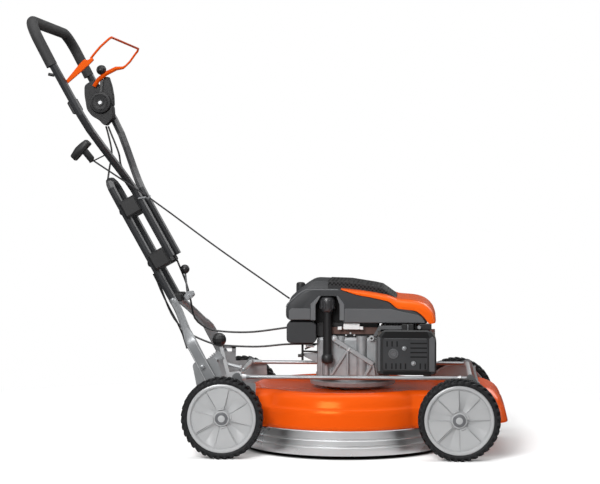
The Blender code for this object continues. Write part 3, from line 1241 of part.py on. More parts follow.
def make_stop_bail():
    """A bent wire hoop with flat arms, turning on the handle tube and on the control box."""
    near = -(GRIP_HALF_WIDTH - HANDLE_TUBE_RADIUS - FIT_GAP)
    far = BOX_INNER_Y - FIT_GAP
    px, pz = BAIL_PIVOT
    bar_x, bar_z = BAIL_BAR
    knee_x, knee_z = BAIL_KNEE
    near_arm = near + BAIL_NEAR_ARM_REACH
    far_arm = BAIL_FAR_ARM_Y
    points = [(px, near, pz), (px, near + 0.010, pz), (px + 0.004, near_arm, pz + 0.003),
              (knee_x, near_arm + 0.0107, knee_z), (bar_x - 0.004, -BAIL_BAR_HALF_WIDTH - 0.006, bar_z - 0.005),
              (bar_x, -BAIL_BAR_HALF_WIDTH + 0.008, bar_z), (bar_x, 0.0, bar_z + 0.001),
              (bar_x, BAIL_BAR_HALF_WIDTH - 0.010, bar_z),
              (bar_x - 0.004, BAIL_BAR_HALF_WIDTH + 0.001, bar_z - 0.007),
              (knee_x, far_arm + 0.002, knee_z), (px + 0.008, far_arm, pz + 0.006), (px, far_arm + 0.008, pz),
              (px, far, pz)]
    bail = finish("stop_bail", tube_mesh("stop_bail", smooth_path(points, 0.022), BAIL_WIRE_RADIUS, 1),
                  orange_paint, bail_marker)
    paddle = ((px - 0.004, pz - 0.004), (px + 0.026, pz + 0.014), (knee_x + 0.004, knee_z - 0.004),
              (knee_x, knee_z + 0.004), (px + 0.035, pz + 0.044), (px + 0.004, pz + 0.012))
    for y, side_name in ((near_arm, "right"), (far_arm, "left")):
        sheet = sheet_mesh("bail_paddle_" + side_name, paddle, y - BAIL_PADDLE_HALF_THICKNESS,
                           y + BAIL_PADDLE_HALF_THICKNESS)
        combine(bail, sheet, "UNION")


def make_control_lever():
    """The throttle lever: a dial hub on the box's inner face and an arm up to its ball."""
    outer = BOX_INNER_Y - FIT_GAP
    hub = round_mesh("control_lever", above_ground(CONTROL_PIVOT, outer - CONTROL_HUB_THICKNESS),
                     above_ground(CONTROL_PIVOT, outer), CONTROL_HUB_RADIUS, 24)
    lever = finish("control_lever", hub, black_plastic, control_marker)
    strip = rounded_strip(CONTROL_PIVOT, CONTROL_KNOB_CENTRE, CONTROL_ARM_HALF_WIDTH)
    arm = sheet_mesh("control_arm", strip, outer - 0.0045, outer - 0.0015)
    combine(lever, arm, "UNION")
    ball = ball_mesh("control_ball", above_ground(CONTROL_KNOB_CENTRE, outer - CONTROL_KNOB_RADIUS + 0.004),
                     CONTROL_KNOB_RADIUS)
    combine(lever, ball, "UNION")


def make_tilt_lever():
    """The tilt lock: a cam on the knuckle with a thin rod and a ball."""
    hub = round_mesh("tilt_lever", above_ground(TILT_PIVOT, -TILT_HUB_HALF_WIDTH),
                     above_ground(TILT_PIVOT, TILT_HUB_HALF_WIDTH), TILT_HUB_RADIUS, 16)
    lever = finish("tilt_lever", hub, black_plastic, tilt_marker)
    rod = round_mesh("tilt_rod", above_ground(TILT_PIVOT), above_ground(TILT_KNOB_CENTRE), TILT_ROD_RADIUS, 12)
    combine(lever, rod, "UNION")
    knob = ball_mesh("tilt_knob", above_ground(TILT_KNOB_CENTRE), TILT_KNOB_RADIUS, 14)
    combine(lever, knob, "UNION")


# Rope and cables

def make_rope_guide():
    """A short stud on the right spine tube with a ring that the rope runs through."""
    stud_radius = 0.0030
    beside_tube = UPPER_SPINE_HALF_WIDTH + HANDLE_TUBE_RADIUS + stud_radius - 0.0004
    at_tube = Vector(on_spine(UPPER_SPINE, UPPER_SPINE[1] - 0.0150, -beside_tube))
    in_ring = ROPE_EYE + (at_tube - ROPE_EYE).normalized() * (ROPE_EYE_RADIUS - 0.0022)
    guide = finish("rope_guide", round_mesh("rope_guide", at_tube, in_ring, stud_radius, 12), zinc_steel,
                   telescope_marker)
    along = (ROPE_GRIP_END - ROPE_EYE).normalized()
    ring = round_mesh("rope_guide_ring", ROPE_EYE - along * 0.003, ROPE_EYE + along * 0.003,
                      ROPE_EYE_RADIUS, 16)
    combine(guide, ring, "UNION")
    way = round_mesh("rope_guide_way", ROPE_EYE - along * 0.03, ROPE_EYE + along * 0.03,
                     ROPE_RADIUS + ROPE_EYE_SPACE, 16)
    combine(guide, way, "DIFFERENCE")


def make_start_rope():
    middle = (ROPE_ENGINE_END + ROPE_EYE) / 2 - Vector((0.0, 0.0, ROPE_SAG))
    points = smooth_path([ROPE_GRIP_END, ROPE_EYE, middle, ROPE_ENGINE_END], 0.070)
    finish("start_rope", tube_mesh("start_rope", points, ROPE_RADIUS, 1), black_plastic, datum)


def make_rope_grip():
    """A curved T handle with a short stem that takes the rope."""
    grip_marker = add_marker("rope_pull_axis", tuple(ROPE_GRIP_END), telescope_marker)
    along = (ROPE_GRIP_END - ROPE_EYE).normalized()
    stem_start = ROPE_GRIP_END + along * 0.0005
    stem_end = ROPE_GRIP_END + along * 0.030
    ends = [above_ground(moved(HANDLE_PIVOT, step), T_GRIP_Y) for step in T_GRIP_ENDS]
    middle = stem_end + along * 0.006
    bar = tube_mesh("rope_grip", smooth_path([ends[0], middle, ends[1]], 0.008), T_GRIP_RADIUS)
    grip = finish("rope_grip", bar, black_plastic, grip_marker)
    combine(grip, round_mesh("rope_grip_stem", stem_start, middle, 0.0045, 14, 0.0065), "UNION")


def beside_spine(height, y, out):
    """A point at a distance in front of the lower spine, square to it."""
    rise = Vector((-SPINE_RUN_PER_RISE, 0.0, 1.0)).normalized()
    return Vector(on_spine(LOWER_SPINE, height, y)) + Vector((rise.z, 0.0, -rise.x)) * out


def cable_courses():
    front_of_clamp = CLAMP_OFFSET + CLAMP_SIZE / 2 + CABLE_RADIUS + 0.0006
    behind_clamp = CLAMP_OFFSET - CLAMP_SIZE / 2 - CABLE_RADIUS - 0.0006
    throttle = [Vector((-0.6775, 0.2280, 0.8588)), Vector((-0.6720, 0.2270, 0.8450)),
                Vector((-0.6380, 0.1650, 0.7850)), beside_spine(0.7350, 0.0850, 0.0330),
                beside_spine(0.7000, 0.0350, 0.0370), beside_spine(0.6750, 0.0150, 0.0490),
                beside_spine(UPPER_CLAMP_Z + 0.025, 0.0120, front_of_clamp),
                beside_spine(UPPER_CLAMP_Z - 0.025, 0.0120, front_of_clamp),
                beside_spine(LOWER_CLAMP_Z + 0.025, 0.0120, front_of_clamp),
                beside_spine(LOWER_CLAMP_Z - 0.025, 0.0120, front_of_clamp), Vector((-0.4300, 0.0200, 0.4300)),
                Vector((-0.4180, 0.0240, 0.3800)), Vector((-0.4080, 0.0280, 0.3350)),
                Vector((-0.3750, 0.0300, 0.3080)), Vector((-0.3300, 0.0280, 0.2990)),
                Vector((-0.2500, 0.0200, 0.2990)), Vector((-0.1495, 0.0130, 0.3130))]
    brake = [Vector((-0.6840, 0.2280, 0.8588)), Vector((-0.6790, 0.2260, 0.8430)),
             Vector((-0.6560, 0.1600, 0.7850)), Vector((-0.6480, 0.0700, 0.7350)),
             beside_spine(0.7000, 0.0200, -0.0165), beside_spine(0.6700, 0.0000, -0.0080),
             beside_spine(UPPER_CLAMP_Z + 0.022, -0.0050, behind_clamp),
             beside_spine(UPPER_CLAMP_Z - 0.022, -0.0080, behind_clamp),
             beside_spine(LOWER_CLAMP_Z + 0.024, -0.0100, behind_clamp),
             beside_spine(LOWER_CLAMP_Z - 0.020, -0.0110, behind_clamp), Vector((-0.5000, -0.0120, 0.4410)),
             Vector((-0.4850, -0.0150, 0.3950)), Vector((-0.4570, -0.0250, 0.3380)),
             Vector((-0.4180, -0.0350, 0.3010)), Vector((-0.3610, -0.0450, 0.2760)),
             Vector((-0.3217, -0.0500, 0.2688)), Vector((-0.2300, -0.0500, 0.2660)),
             Vector((-0.1500, -0.0500, 0.2730)), Vector((-0.0693, -0.0500, 0.2740))]
    return {"throttle_cable": throttle, "brake_cable": brake}


def make_cables():
    """The throttle cable and the engine brake cable, from the control box to the engine."""
    for name, course in cable_courses().items():
        finish(name, tube_mesh(name, smooth_path(course, 0.026), CABLE_RADIUS, 1), black_plastic, datum)


def build():
    make_deck_shell()
    make_wear_ring()
    for end, marker in ((-1, rear_marker), (1, front_marker)):
        for side, side_name in side_names():
            make_side_plate(end, side, side_name)
            make_arm(end, side, side_name, marker)
        make_tie_bar(end, marker)
    make_front_strap()
    make_wheels()
    for side, side_name in side_names():
        make_link_rod(side, side_name)
        make_handle_leg(side, side_name)
        make_upper_tube(side, side_name)
    make_height_lever()
    make_engine_base()
    make_crankcase()
    make_cylinder()
    make_shroud()
    make_trim()
    make_grille()
    make_filter_cover()
    make_oil_filler()
    make_fuel_cap()
    make_muffler()
    make_muffler_guard()
    make_rotor()
    make_lower_loop()
    make_knuckle()
    make_clamp("upper_clamp", UPPER_CLAMP_Z)
    make_clamp("lower_clamp", LOWER_CLAMP_Z)
    make_grip()
    make_control_box()
    make_stop_bail()
    make_control_lever()
    make_tilt_lever()
    make_rope_guide()
    make_start_rope()
    make_rope_grip()
    make_cables()


build()
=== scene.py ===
import math

import bmesh
import bpy
from mathutils import Matrix, Vector


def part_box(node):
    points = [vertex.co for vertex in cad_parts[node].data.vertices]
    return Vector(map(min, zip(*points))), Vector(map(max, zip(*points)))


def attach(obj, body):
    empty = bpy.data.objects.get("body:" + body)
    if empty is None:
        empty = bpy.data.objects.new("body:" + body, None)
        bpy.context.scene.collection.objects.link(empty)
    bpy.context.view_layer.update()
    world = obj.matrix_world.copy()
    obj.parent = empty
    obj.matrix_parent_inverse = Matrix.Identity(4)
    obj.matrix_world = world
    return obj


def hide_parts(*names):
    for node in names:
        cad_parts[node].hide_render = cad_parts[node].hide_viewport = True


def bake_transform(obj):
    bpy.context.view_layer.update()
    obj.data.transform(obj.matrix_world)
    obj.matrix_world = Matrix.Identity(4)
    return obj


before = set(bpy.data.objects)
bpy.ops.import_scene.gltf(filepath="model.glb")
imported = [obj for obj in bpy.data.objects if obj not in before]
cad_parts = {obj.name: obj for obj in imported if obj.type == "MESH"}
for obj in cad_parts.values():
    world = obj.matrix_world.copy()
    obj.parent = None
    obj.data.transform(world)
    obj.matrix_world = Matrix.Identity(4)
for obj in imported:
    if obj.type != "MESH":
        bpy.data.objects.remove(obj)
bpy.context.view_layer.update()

# Studio: a pale floor, a white surround, five soft lamps and a long lens level with the engine.
# The eye sees plain white round the object. Polished faces see grey flags as well, on both sides and behind.


def linear(code):
    """The linear colour of an sRGB hex value."""
    parts = [int(code[start:start + 2], 16) / 255 for start in (1, 3, 5)]
    return tuple([p / 12.92 if p <= 0.04045 else ((p + 0.055) / 1.055) ** 2.4 for p in parts] + [1.0])


def add(tree, kind, links=None, **settings):
    """Adds a node, with its settings or socket values, and what its inputs take."""
    node = tree.nodes.new(kind)
    for name, value in settings.items():
        if name in node.bl_rna.properties:
            setattr(node, name, value)
        else:
            node.inputs[name.replace("_", " ")].default_value = value
    for socket, source in (links or {}).items():
        tree.links.new(source, node.inputs[socket])
    return node


scene = bpy.context.scene
scene.view_settings.view_transform = "Standard"

lens_data = bpy.data.cameras.new("studio_camera")
lens_data.lens = 109.83
lens_data.sensor_width = 36.0
lens_data.clip_end = 60.0
camera = bpy.data.objects.new("studio_camera", lens_data)
camera.location = (0.40617, -4.8869, 0.7291)
camera.rotation_euler = (math.pi / 2 - 0.038, 0.0, 0.0686)
scene.collection.objects.link(camera)
scene.camera = camera

world = bpy.data.worlds.new("studio_surround")
world.use_nodes = True
scene.world = world
sky = world.node_tree
sky.nodes.clear()
rays = add(sky, "ShaderNodeLightPath")
direct = add(sky, "ShaderNodeMath", {0: rays.outputs["Is Camera Ray"], 1: rays.outputs["Is Transmission Ray"]},
             operation="MAXIMUM")
around = add(sky, "ShaderNodeTexCoord").outputs["Generated"]
parts = add(sky, "ShaderNodeSeparateXYZ", {"Vector": around})
sideways = add(sky, "ShaderNodeMath", {0: parts.outputs["X"]}, operation="ABSOLUTE")
# Tones by direction, as (position, tone): flags at the sides, bands from floor to top, and a flag behind the object,
# which keeps the top faces in their own colour where they are seen at a flat angle
SIDE_TONES = ((0.0, "#FFFFFF"), (0.74, "#FFFFFF"), (0.84, "#4E4E4E"), (0.97, "#3A3A3A"), (1.0, "#9A9A9A"))
BAND_TONES = ((0.0, "#F0F0F0"), (0.14, "#E6E6E6"), (0.27, "#7C7C7C"), (0.52, "#707070"), (0.66, "#FFFFFF"),
              (1.0, "#FFFFFF"))
BACK_TONES = ((0.0, "#FFFFFF"), (0.12, "#FFFFFF"), (0.45, "#7A7A7A"), (1.0, "#707070"))
surround_tones = []
for way, stops in ((sideways.outputs[0], SIDE_TONES), (parts.outputs["Z"], BAND_TONES),
                   (parts.outputs["Y"], BACK_TONES)):
    tone_ramp = add(sky, "ShaderNodeValToRGB", {"Fac": way})
    points = tone_ramp.color_ramp.elements
    points[0].position, points[1].position = stops[0][0], stops[-1][0]
    points[0].color, points[1].color = linear(stops[0][1]), linear(stops[-1][1])
    for position, code in stops[1:-1]:
        points.new(position).color = linear(code)
    surround_tones.append(tone_ramp.outputs["Color"])
flags, bands, behind = surround_tones
studio_tone = add(sky, "ShaderNodeMixRGB", {"Color1": flags, "Color2": bands}, blend_type="MULTIPLY", Fac=1.0)
flag_tone = add(sky, "ShaderNodeMixRGB", {"Color1": studio_tone.outputs[0], "Color2": behind},
                blend_type="MULTIPLY", Fac=1.0)
glossy = add(sky, "ShaderNodeBackground", {"Color": flag_tone.outputs[0]}, Strength=1.0)
soft = add(sky, "ShaderNodeBackground", Color=linear("#FFFFFF"), Strength=0.42)
white = add(sky, "ShaderNodeBackground", Color=linear("#FFFFFF"), Strength=1.0)
lit = add(sky, "ShaderNodeMixShader", {0: rays.outputs["Is Glossy Ray"], 1: soft.outputs[0], 2: glossy.outputs[0]})
seen = add(sky, "ShaderNodeMixShader", {0: direct.outputs[0], 1: lit.outputs[0], 2: white.outputs[0]})
add(sky, "ShaderNodeOutputWorld", {"Surface": seen.outputs[0]})

# Lamps as (name, place, size in metres, watts)
LAMPS = (("key_lamp", (-0.9, -3.5, 2.2), (1.5, 1.4), 118.0),
         ("top_lamp", (0.1, -0.2, 3.2), (3.0, 1.8), 40.0),
         ("far_lamp", (1.8, 2.6, 2.2), (1.8, 1.8), 26.0),
         ("left_strip", (-3.2, 0.7, 1.2), (1.4, 2.0), 14.0),
         ("right_strip", (3.4, 0.5, 1.3), (1.4, 2.0), 18.0))
for name, place, size, power in LAMPS:
    lamp_data = bpy.data.lights.new(name, "AREA")
    lamp_data.shape = "RECTANGLE"
    lamp_data.size, lamp_data.size_y = size
    lamp_data.energy = power
    lamp = bpy.data.objects.new(name, lamp_data)
    lamp.location = place
    lamp.rotation_euler = (Vector((0.0, 0.0, 0.35)) - Vector(place)).to_track_quat("-Z", "Y").to_euler()
    scene.collection.objects.link(lamp)

# Matt paper with a painted shadow: dark under the drum, where no lamp reaches, pale around it, and one with the
# surround far out.
# Polished faces see black flags lie on it at both ends.
DRUM_PLACE = (0.191, 0.0, 0.0)
floor_paper = bpy.data.materials.new("matt_paper_floor")
floor_paper.use_nodes = True
paper = floor_paper.node_tree
paper.nodes.clear()
paper_rays = add(paper, "ShaderNodeLightPath")
spot = add(paper, "ShaderNodeTexCoord").outputs["Object"]
from_drum_offset = add(paper, "ShaderNodeVectorMath", {0: spot}, operation="SUBTRACT")
from_drum_offset.inputs[1].default_value = DRUM_PLACE
from_drum = add(paper, "ShaderNodeVectorMath", {0: from_drum_offset.outputs[0]}, operation="LENGTH")
shadow_free_floor = add(paper, "ShaderNodeMapRange", {"Value": from_drum.outputs["Value"]}, From_Min=0.262, From_Max=0.284)
# Painted shadow: within the drum's round the paper turns dark grey, and outside it stays pale.
paper_with_painted_shadow = add(paper, "ShaderNodeMixRGB", {"Fac": shadow_free_floor.outputs[0]}, Color1=linear("#3A3A3A"),
                 Color2=linear("#F2F2F2"))
matt = add(paper, "ShaderNodeBsdfDiffuse", {"Color": paper_with_painted_shadow.outputs[0]}, Roughness=0.6)
lift = add(paper, "ShaderNodeMath", {0: shadow_free_floor.outputs[0], 1: paper_rays.outputs["Is Camera Ray"]},
           operation="MULTIPLY")
glow = add(paper, "ShaderNodeEmission", {"Strength": lift.outputs[0]}, Color=linear("#484848"))
paper_sum = add(paper, "ShaderNodeAddShader", {0: matt.outputs[0], 1: glow.outputs[0]})
away = add(paper, "ShaderNodeVectorMath", {0: spot}, operation="LENGTH")
fading = add(paper, "ShaderNodeMapRange", {"Value": away.outputs["Value"]}, From_Min=0.75, From_Max=1.5)
sweep = add(paper, "ShaderNodeEmission", {"Strength": paper_rays.outputs["Is Camera Ray"]}, Color=linear("#FFFFFF"))
faded = add(paper, "ShaderNodeMixShader", {0: fading.outputs[0], 1: paper_sum.outputs[0], 2: sweep.outputs[0]})
spot_parts = add(paper, "ShaderNodeSeparateXYZ", {"Vector": from_drum_offset.outputs[0]})
aside = add(paper, "ShaderNodeMath", {0: spot_parts.outputs["X"]}, operation="ABSOLUTE")
flagged = add(paper, "ShaderNodeMapRange", {"Value": aside.outputs[0]}, From_Min=0.34, From_Max=0.56)
flag_rays = add(paper, "ShaderNodeMath", {0: flagged.outputs[0], 1: paper_rays.outputs["Is Glossy Ray"]},
                operation="MULTIPLY")
black_flag = add(paper, "ShaderNodeEmission", Color=linear("#2A2A2A"), Strength=1.0)
flag_mix = add(paper, "ShaderNodeMixShader", {0: flag_rays.outputs[0], 1: faded.outputs[0], 2: black_flag.outputs[0]})
add(paper, "ShaderNodeOutputMaterial", {"Surface": flag_mix.outputs[0]})
floor_shape = bmesh.new()
bmesh.ops.create_grid(floor_shape, x_segments=2, y_segments=2, size=14.0)
floor_mesh = bpy.data.meshes.new("studio_floor")
floor_shape.to_mesh(floor_mesh)
floor_shape.free()
floor_mesh.materials.append(floor_paper)
floor = bpy.data.objects.new("studio_floor", floor_mesh)
scene.collection.objects.link(floor)

# Cutting deck: a drum with a long nose, pressed from steel sheet and sprayed in gloss orange enamel.
# It is bolted between the four side plates and carries the engine in a shallow dish.
low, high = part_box("crankshaft")
CRANK_X = (low[0] + high[0]) / 2


def at(x, y, z):
    """A shift to a place measured from the crank axis."""
    return Matrix.Translation((CRANK_X + x, y, z))


def start_finish(name, dark, light, patch_mm, rough, grain_mm, depth_mm, **sockets):
    """A material whose colour drifts between two tones, with a grain of its own size and depth."""
    material = bpy.data.materials.new(name)
    material.use_nodes = True
    tree = material.node_tree
    shader = tree.nodes["Principled BSDF"]
    for socket, value in sockets.items():
        shader.inputs[socket.replace("_", " ")].default_value = value
    place = add(tree, "ShaderNodeTexCoord").outputs["Object"]
    patches = add(tree, "ShaderNodeTexNoise", {"Vector": place}, Scale=1000.0 / patch_mm, Detail=3.0)
    tone = add(tree, "ShaderNodeMixRGB", {"Fac": patches.outputs["Fac"]}, Color1=linear(dark), Color2=linear(light))
    tree.links.new(tone.outputs[0], shader.inputs["Base Color"])
    wear = add(tree, "ShaderNodeMapRange", {"Value": patches.outputs["Fac"]}, To_Min=rough * 0.85, To_Max=rough * 1.2)
    tree.links.new(wear.outputs[0], shader.inputs["Roughness"])
    grain = add(tree, "ShaderNodeTexNoise", {"Vector": place}, Scale=1000.0 / grain_mm, Detail=2.0)
    relief = add(tree, "ShaderNodeBump", {"Height": grain.outputs["Fac"]}, Strength=1.0, Distance=depth_mm / 1000.0)
    tree.links.new(relief.outputs[0], shader.inputs["Normal"])
    return material


def finished_piece(name, shape, material, body, stands_for=(), crease=35.0):
    """Makes a finished shape an object that may move with a CAD body and may stand for CAD nodes."""
    mesh = bpy.data.meshes.new(name)
    shape.to_mesh(mesh)
    shape.free()
    mesh.materials.append(material)
    mesh.shade_smooth()
    mesh.set_sharp_from_angle(angle=math.radians(crease))
    piece = bpy.data.objects.new(name, mesh)
    scene.collection.objects.link(piece)
    if body:
        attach(piece, body)
    if stands_for:
        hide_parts(*stands_for)
    return piece


# Sprayed enamel: gloss, with a faint orange peel of about 3 mm that breaks up the reflections.
gloss_orange = start_finish("sprayed_orange_enamel", "#D94B0C", "#E65710", 260, 0.2, 3.0, 0.006,
                            Specular_IOR_Level=0.5, Specular_Tint=linear("#FF9648"))

DECK_STEPS = 192
DRUM_RADIUS = 0.272
NOSE_REACH = 0.4304
TAIL_REACH = 0.262
FLANK_HALF_WIDTH = 0.195
CORNER_POWER = 8.0
DECK_SHEET = 0.0026
# The nose rises a little ahead of the drum and between its flanks, and its foot is lifted outside the drum
RISE_START, RISE_EASE, RISE_HALF_WIDTH, RISE_FADE = 0.28, 0.06, 0.18, 0.08
NOSE_LIFT, LIFT_START, LIFT_EASE, LIFT_BELOW = 0.011, 0.3, 0.06, 0.08
# Each level of the deck: height, the nose's rise over it, and how far drum, nose and flanks are drawn in, then
# how sharp its line is
DECK_RINGS = ((0.073, 0.0, 0.0, 0.0, 0.0, 1.0), (0.096, 0.0, 0.0015, 0.0028, 0.0, 0.0),
              (0.1235, 0.0, 0.003, 0.0095, 0.0, 0.8), (0.1262, 0.0, 0.0068, 0.012, 0.002, 0.8),
              (0.14, 0.008, 0.011, 0.0194, 0.008, 0.0), (0.153, 0.011, 0.0165, 0.038, 0.016, 0.1),
              (0.162, 0.0102, 0.025, 0.064, 0.028, 0.3), (0.166, 0.0084, 0.037, 0.086, 0.04, 0.7),
              (0.163, -0.003, 0.058, 0.111, 0.052, 0.3), (0.156, 0.0, 0.14, 0.24, 0.1, 0.0))


def lay_deck_ring(corners, height, nose_rise, drum_inset, nose_inset, flank_inset):
    """Lays a ring of corners on the deck's outline: the drum, or the nose and tail where they reach further."""
    half_width = FLANK_HALF_WIDTH - flank_inset
    for corner in corners:
        angle = math.atan2(corner.co.y, corner.co.x - CRANK_X)
        reach = NOSE_REACH - nose_inset if math.cos(angle) > 0.0 else TAIL_REACH - flank_inset
        along = (abs(math.cos(angle)) / reach) ** CORNER_POWER
        across_share = (abs(math.sin(angle)) / half_width) ** CORNER_POWER
        radius = max(DRUM_RADIUS - drum_inset, (along + across_share) ** (-1.0 / CORNER_POWER))
        ahead, across = radius * math.cos(angle), radius * math.sin(angle)
        rise = nose_rise * min(1.0, max(0.0, (ahead - RISE_START) / RISE_EASE))
        rise *= min(1.0, max(0.0, (RISE_HALF_WIDTH - abs(across)) / RISE_FADE))
        if height < LIFT_BELOW:
            rise = NOSE_LIFT * min(1.0, max(0.0, (radius - LIFT_START) / LIFT_EASE))
        corner.co = (CRANK_X + ahead, across, height + rise)


deck = bmesh.new()
bmesh.ops.create_circle(deck, segments=DECK_STEPS, radius=1.0, matrix=at(0.0, 0.0, 0.0))
lay_deck_ring(deck.verts, *DECK_RINGS[0][:5])
sharpness = deck.edges.layers.float.new("crease_edge")
rim_edges = deck.edges[:]
for edge in rim_edges:
    edge[sharpness] = DECK_RINGS[0][5]
for ring in DECK_RINGS[1:]:
    pushed = bmesh.ops.extrude_edge_only(deck, edges=rim_edges)["geom"]
    corners = [item for item in pushed if isinstance(item, bmesh.types.BMVert)]
    lay_deck_ring(corners, *ring[:5])
    rim_edges = [item for item in pushed if isinstance(item, bmesh.types.BMEdge)
                 and all(corner in corners for corner in item.verts)]
    for edge in rim_edges:
        edge[sharpness] = ring[5]
HOLE_RADIUS = 0.045
pushed = bmesh.ops.extrude_edge_only(deck, edges=rim_edges)["geom"]
for corner in [item for item in pushed if isinstance(item, bmesh.types.BMVert)]:
    way = Vector((corner.co.x - CRANK_X, corner.co.y, 0.0)).normalized() * HOLE_RADIUS
    corner.co = (CRANK_X + way.x, way.y, DECK_RINGS[-1][0])
bmesh.ops.recalc_face_normals(deck, faces=deck.faces[:])
deck_piece = finished_piece("deck_body", deck, gloss_orange, "chassis", ("deck_shell",), 60.0)
wall = deck_piece.modifiers.new("sheet", "SOLIDIFY")
wall.thickness = DECK_SHEET
wall.offset = -1.0
rounding = deck_piece.modifiers.new("rounding", "SUBSURF")
rounding.levels = 1
rounding.render_levels = 1

# Wear ring: three polished bands of rolled steel strip round the foot of the drum.
# It is riveted to the deck, and the wheels' shade shows in it at both ends.
# Rolled steel: bright, with a soft grain that blurs what it mirrors into broad bands.
ring_polish = start_finish("rolled_steel_strip", "#C4C6C8", "#DDDEDF", 120, 0.27, 2.2, 0.004, Metallic=1.0)
RING_STEPS = 180
RING_SECTION = ((0.2716, 0.0727), (0.2733, 0.0705), (0.2737, 0.053), (0.2722, 0.0512), (0.2722, 0.0492),
                (0.2742, 0.0474), (0.2749, 0.0358), (0.2732, 0.0338), (0.2732, 0.0318), (0.2756, 0.0298),
                (0.2769, 0.0118), (0.2764, 0.0098), (0.2738, 0.0098), (0.269, 0.0727))


def turned(section, steps, centre, axis="Z"):
    """A closed section of (radius, height) pairs, spun a full turn about an axis through centre."""
    shape = bmesh.new()
    corners = [shape.verts.new((radius, 0.0, height) if axis == "Z" else (radius, height, 0.0))
               for radius, height in section]
    edges = [shape.edges.new((corners[index - 1], corners[index])) for index in range(len(corners))
             if index or (section[0][0] > 0.0 and section[-1][0] > 0.0)]
    spin_axis = (0.0, 0.0, 1.0) if axis == "Z" else (0.0, 1.0, 0.0)
    bmesh.ops.spin(shape, geom=corners + edges, cent=(0.0, 0.0, 0.0), axis=spin_axis, angle=2 * math.pi,
                   steps=steps, use_merge=True)
    bmesh.ops.remove_doubles(shape, verts=shape.verts[:], dist=0.00002)
    bmesh.ops.recalc_face_normals(shape, faces=shape.faces[:])
    bmesh.ops.translate(shape, verts=shape.verts[:], vec=centre)
    return shape


finished_piece("ring_bands", turned(RING_SECTION, RING_STEPS, (CRANK_X, 0.0, 0.0)), ring_polish, "chassis",
               ("wear_ring",), 30.0)

# Tyres: black rubber, moulded with a row of slanted lugs on each half and shoulder blocks down the wall.
# Each is pressed on its rim.
# Moulded rubber: near black and dull, so that the lugs show by their shade alone.
tread_rubber = start_finish("moulded_rubber", "#101012", "#1A1A1C", 30, 0.6, 2.5, 0.12, Specular_IOR_Level=0.3)
CARCASS_RADIUS = 0.0998
TYRE_SECTION = ((0.0883, -0.019), (0.0905, -0.0208), (0.095, -0.0212), (0.0985, -0.019), (0.0998, -0.012),
                (CARCASS_RADIUS, 0.0), (0.0998, 0.012), (0.0985, 0.019), (0.095, 0.0212), (0.0905, 0.0208),
                (0.0883, 0.019))
LUG_COUNT = 36
LUG_SLANT = math.radians(28.0)
LUG_SIZE, LUG_REACH, LUG_SIDE = (0.0068, 0.0215, 0.0088), 0.1007, 0.0098
SHOULDER_SIZE, SHOULDER_REACH, SHOULDER_SIDE, SHOULDER_RISE = (0.0092, 0.004, 0.0078), 0.0968, 0.0203, 0.0047
SHOULDER_TILT = 0.35
BLOCK_BEVEL = 0.0011
WHEELS = {}
for end_name in ("rear", "front"):
    for side_name, side in (("right", -1), ("left", 1)):
        low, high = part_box("tyre_" + end_name + "_" + side_name)
        WHEELS[end_name + "_" + side_name] = (Vector([(a + b) / 2 for a, b in zip(low, high)]), side)


def add_block(shape, size, bevel, matrix):
    """A small bevelled block at a place of its own."""
    block = bmesh.ops.create_cube(shape, size=1.0, matrix=Matrix.Diagonal((*size, 1.0)))["verts"]
    edges = list({edge for corner in block for edge in corner.link_edges})
    if bevel:
        cut = bmesh.ops.bevel(shape, geom=edges, offset=bevel, segments=1, profile=0.5, affect="EDGES", material=-1)
        block = list({corner for face in cut["faces"] for corner in face.verts}
                     | {corner for corner in block if corner.is_valid})
    bmesh.ops.transform(shape, verts=block, matrix=matrix)


for wheel_name, (hub, _) in WHEELS.items():
    tyre = turned(TYRE_SECTION, 96, (0.0, 0.0, 0.0), "Y")
    for index in range(LUG_COUNT):
        for half in (-1, 1):
            angle = 2 * math.pi * (index + (0.25 if half > 0 else -0.25)) / LUG_COUNT
            turn = Matrix.Rotation(angle, 4, "Y")
            lug = Matrix.Translation((LUG_REACH, half * LUG_SIDE, 0.0)) @ Matrix.Rotation(half * LUG_SLANT, 4, "X")
            add_block(tyre, LUG_SIZE, BLOCK_BEVEL, turn @ lug)
            shoulder = (Matrix.Translation((SHOULDER_REACH, half * SHOULDER_SIDE, SHOULDER_RISE))
                        @ Matrix.Rotation(half * SHOULDER_TILT, 4, "Y"))
            add_block(tyre, SHOULDER_SIZE, BLOCK_BEVEL, turn @ shoulder)
    bmesh.ops.translate(tyre, verts=tyre.verts[:], vec=hub)
    finished_piece("tread_" + wheel_name, tyre, tread_rubber, "wheel_" + wheel_name,
                   ("tyre_" + wheel_name,), 40.0)

# Rims: light grey polypropylene, moulded as one dish with four flat panels, four swept ones and a raised lip.
# A hub cap snaps into the middle and stays bare.
# Moulded polypropylene: light grey with a satin sheen, so that each panel takes a tone of its own.
pale_rim = start_finish("moulded_polypropylene", "#A2A3A4", "#AEAFB0", 60, 0.22, 2.5, 0.006, Specular_IOR_Level=0.6)
RIM_STEPS = 144
RIM_SECTION = ((0.0, 0.0182), (0.0075, 0.0182), (0.0086, 0.0198), (0.0118, 0.0192), (0.0128, 0.016), (0.014, 0.016),
               (0.015, 0.0186), (0.0178, 0.019), (0.0194, 0.0178), (0.0202, 0.0136), (0.024, 0.0126), (0.033, 0.012),
               (0.045, 0.0118), (0.057, 0.012), (0.068, 0.0124), (0.0756, 0.013), (0.0776, 0.0146), (0.079, 0.0188),
               (0.0808, 0.0206), (0.0848, 0.0214), (0.0872, 0.0206), (0.0882, 0.0186), (0.0882, -0.0198),
               (0.0842, -0.0198), (0.0822, -0.015), (0.07, -0.014), (0.024, -0.013), (0.016, -0.015),
               (0.015, -0.0298), (0.0066, -0.0298), (0.0066, 0.012), (0.0, 0.012))
PANEL_HALF_ANGLE = 22.5
PANEL_INNER, PANEL_OUTER = 0.0225, 0.077
PANEL_LIFT = 0.0022
SWEEP_DROP = 0.0085
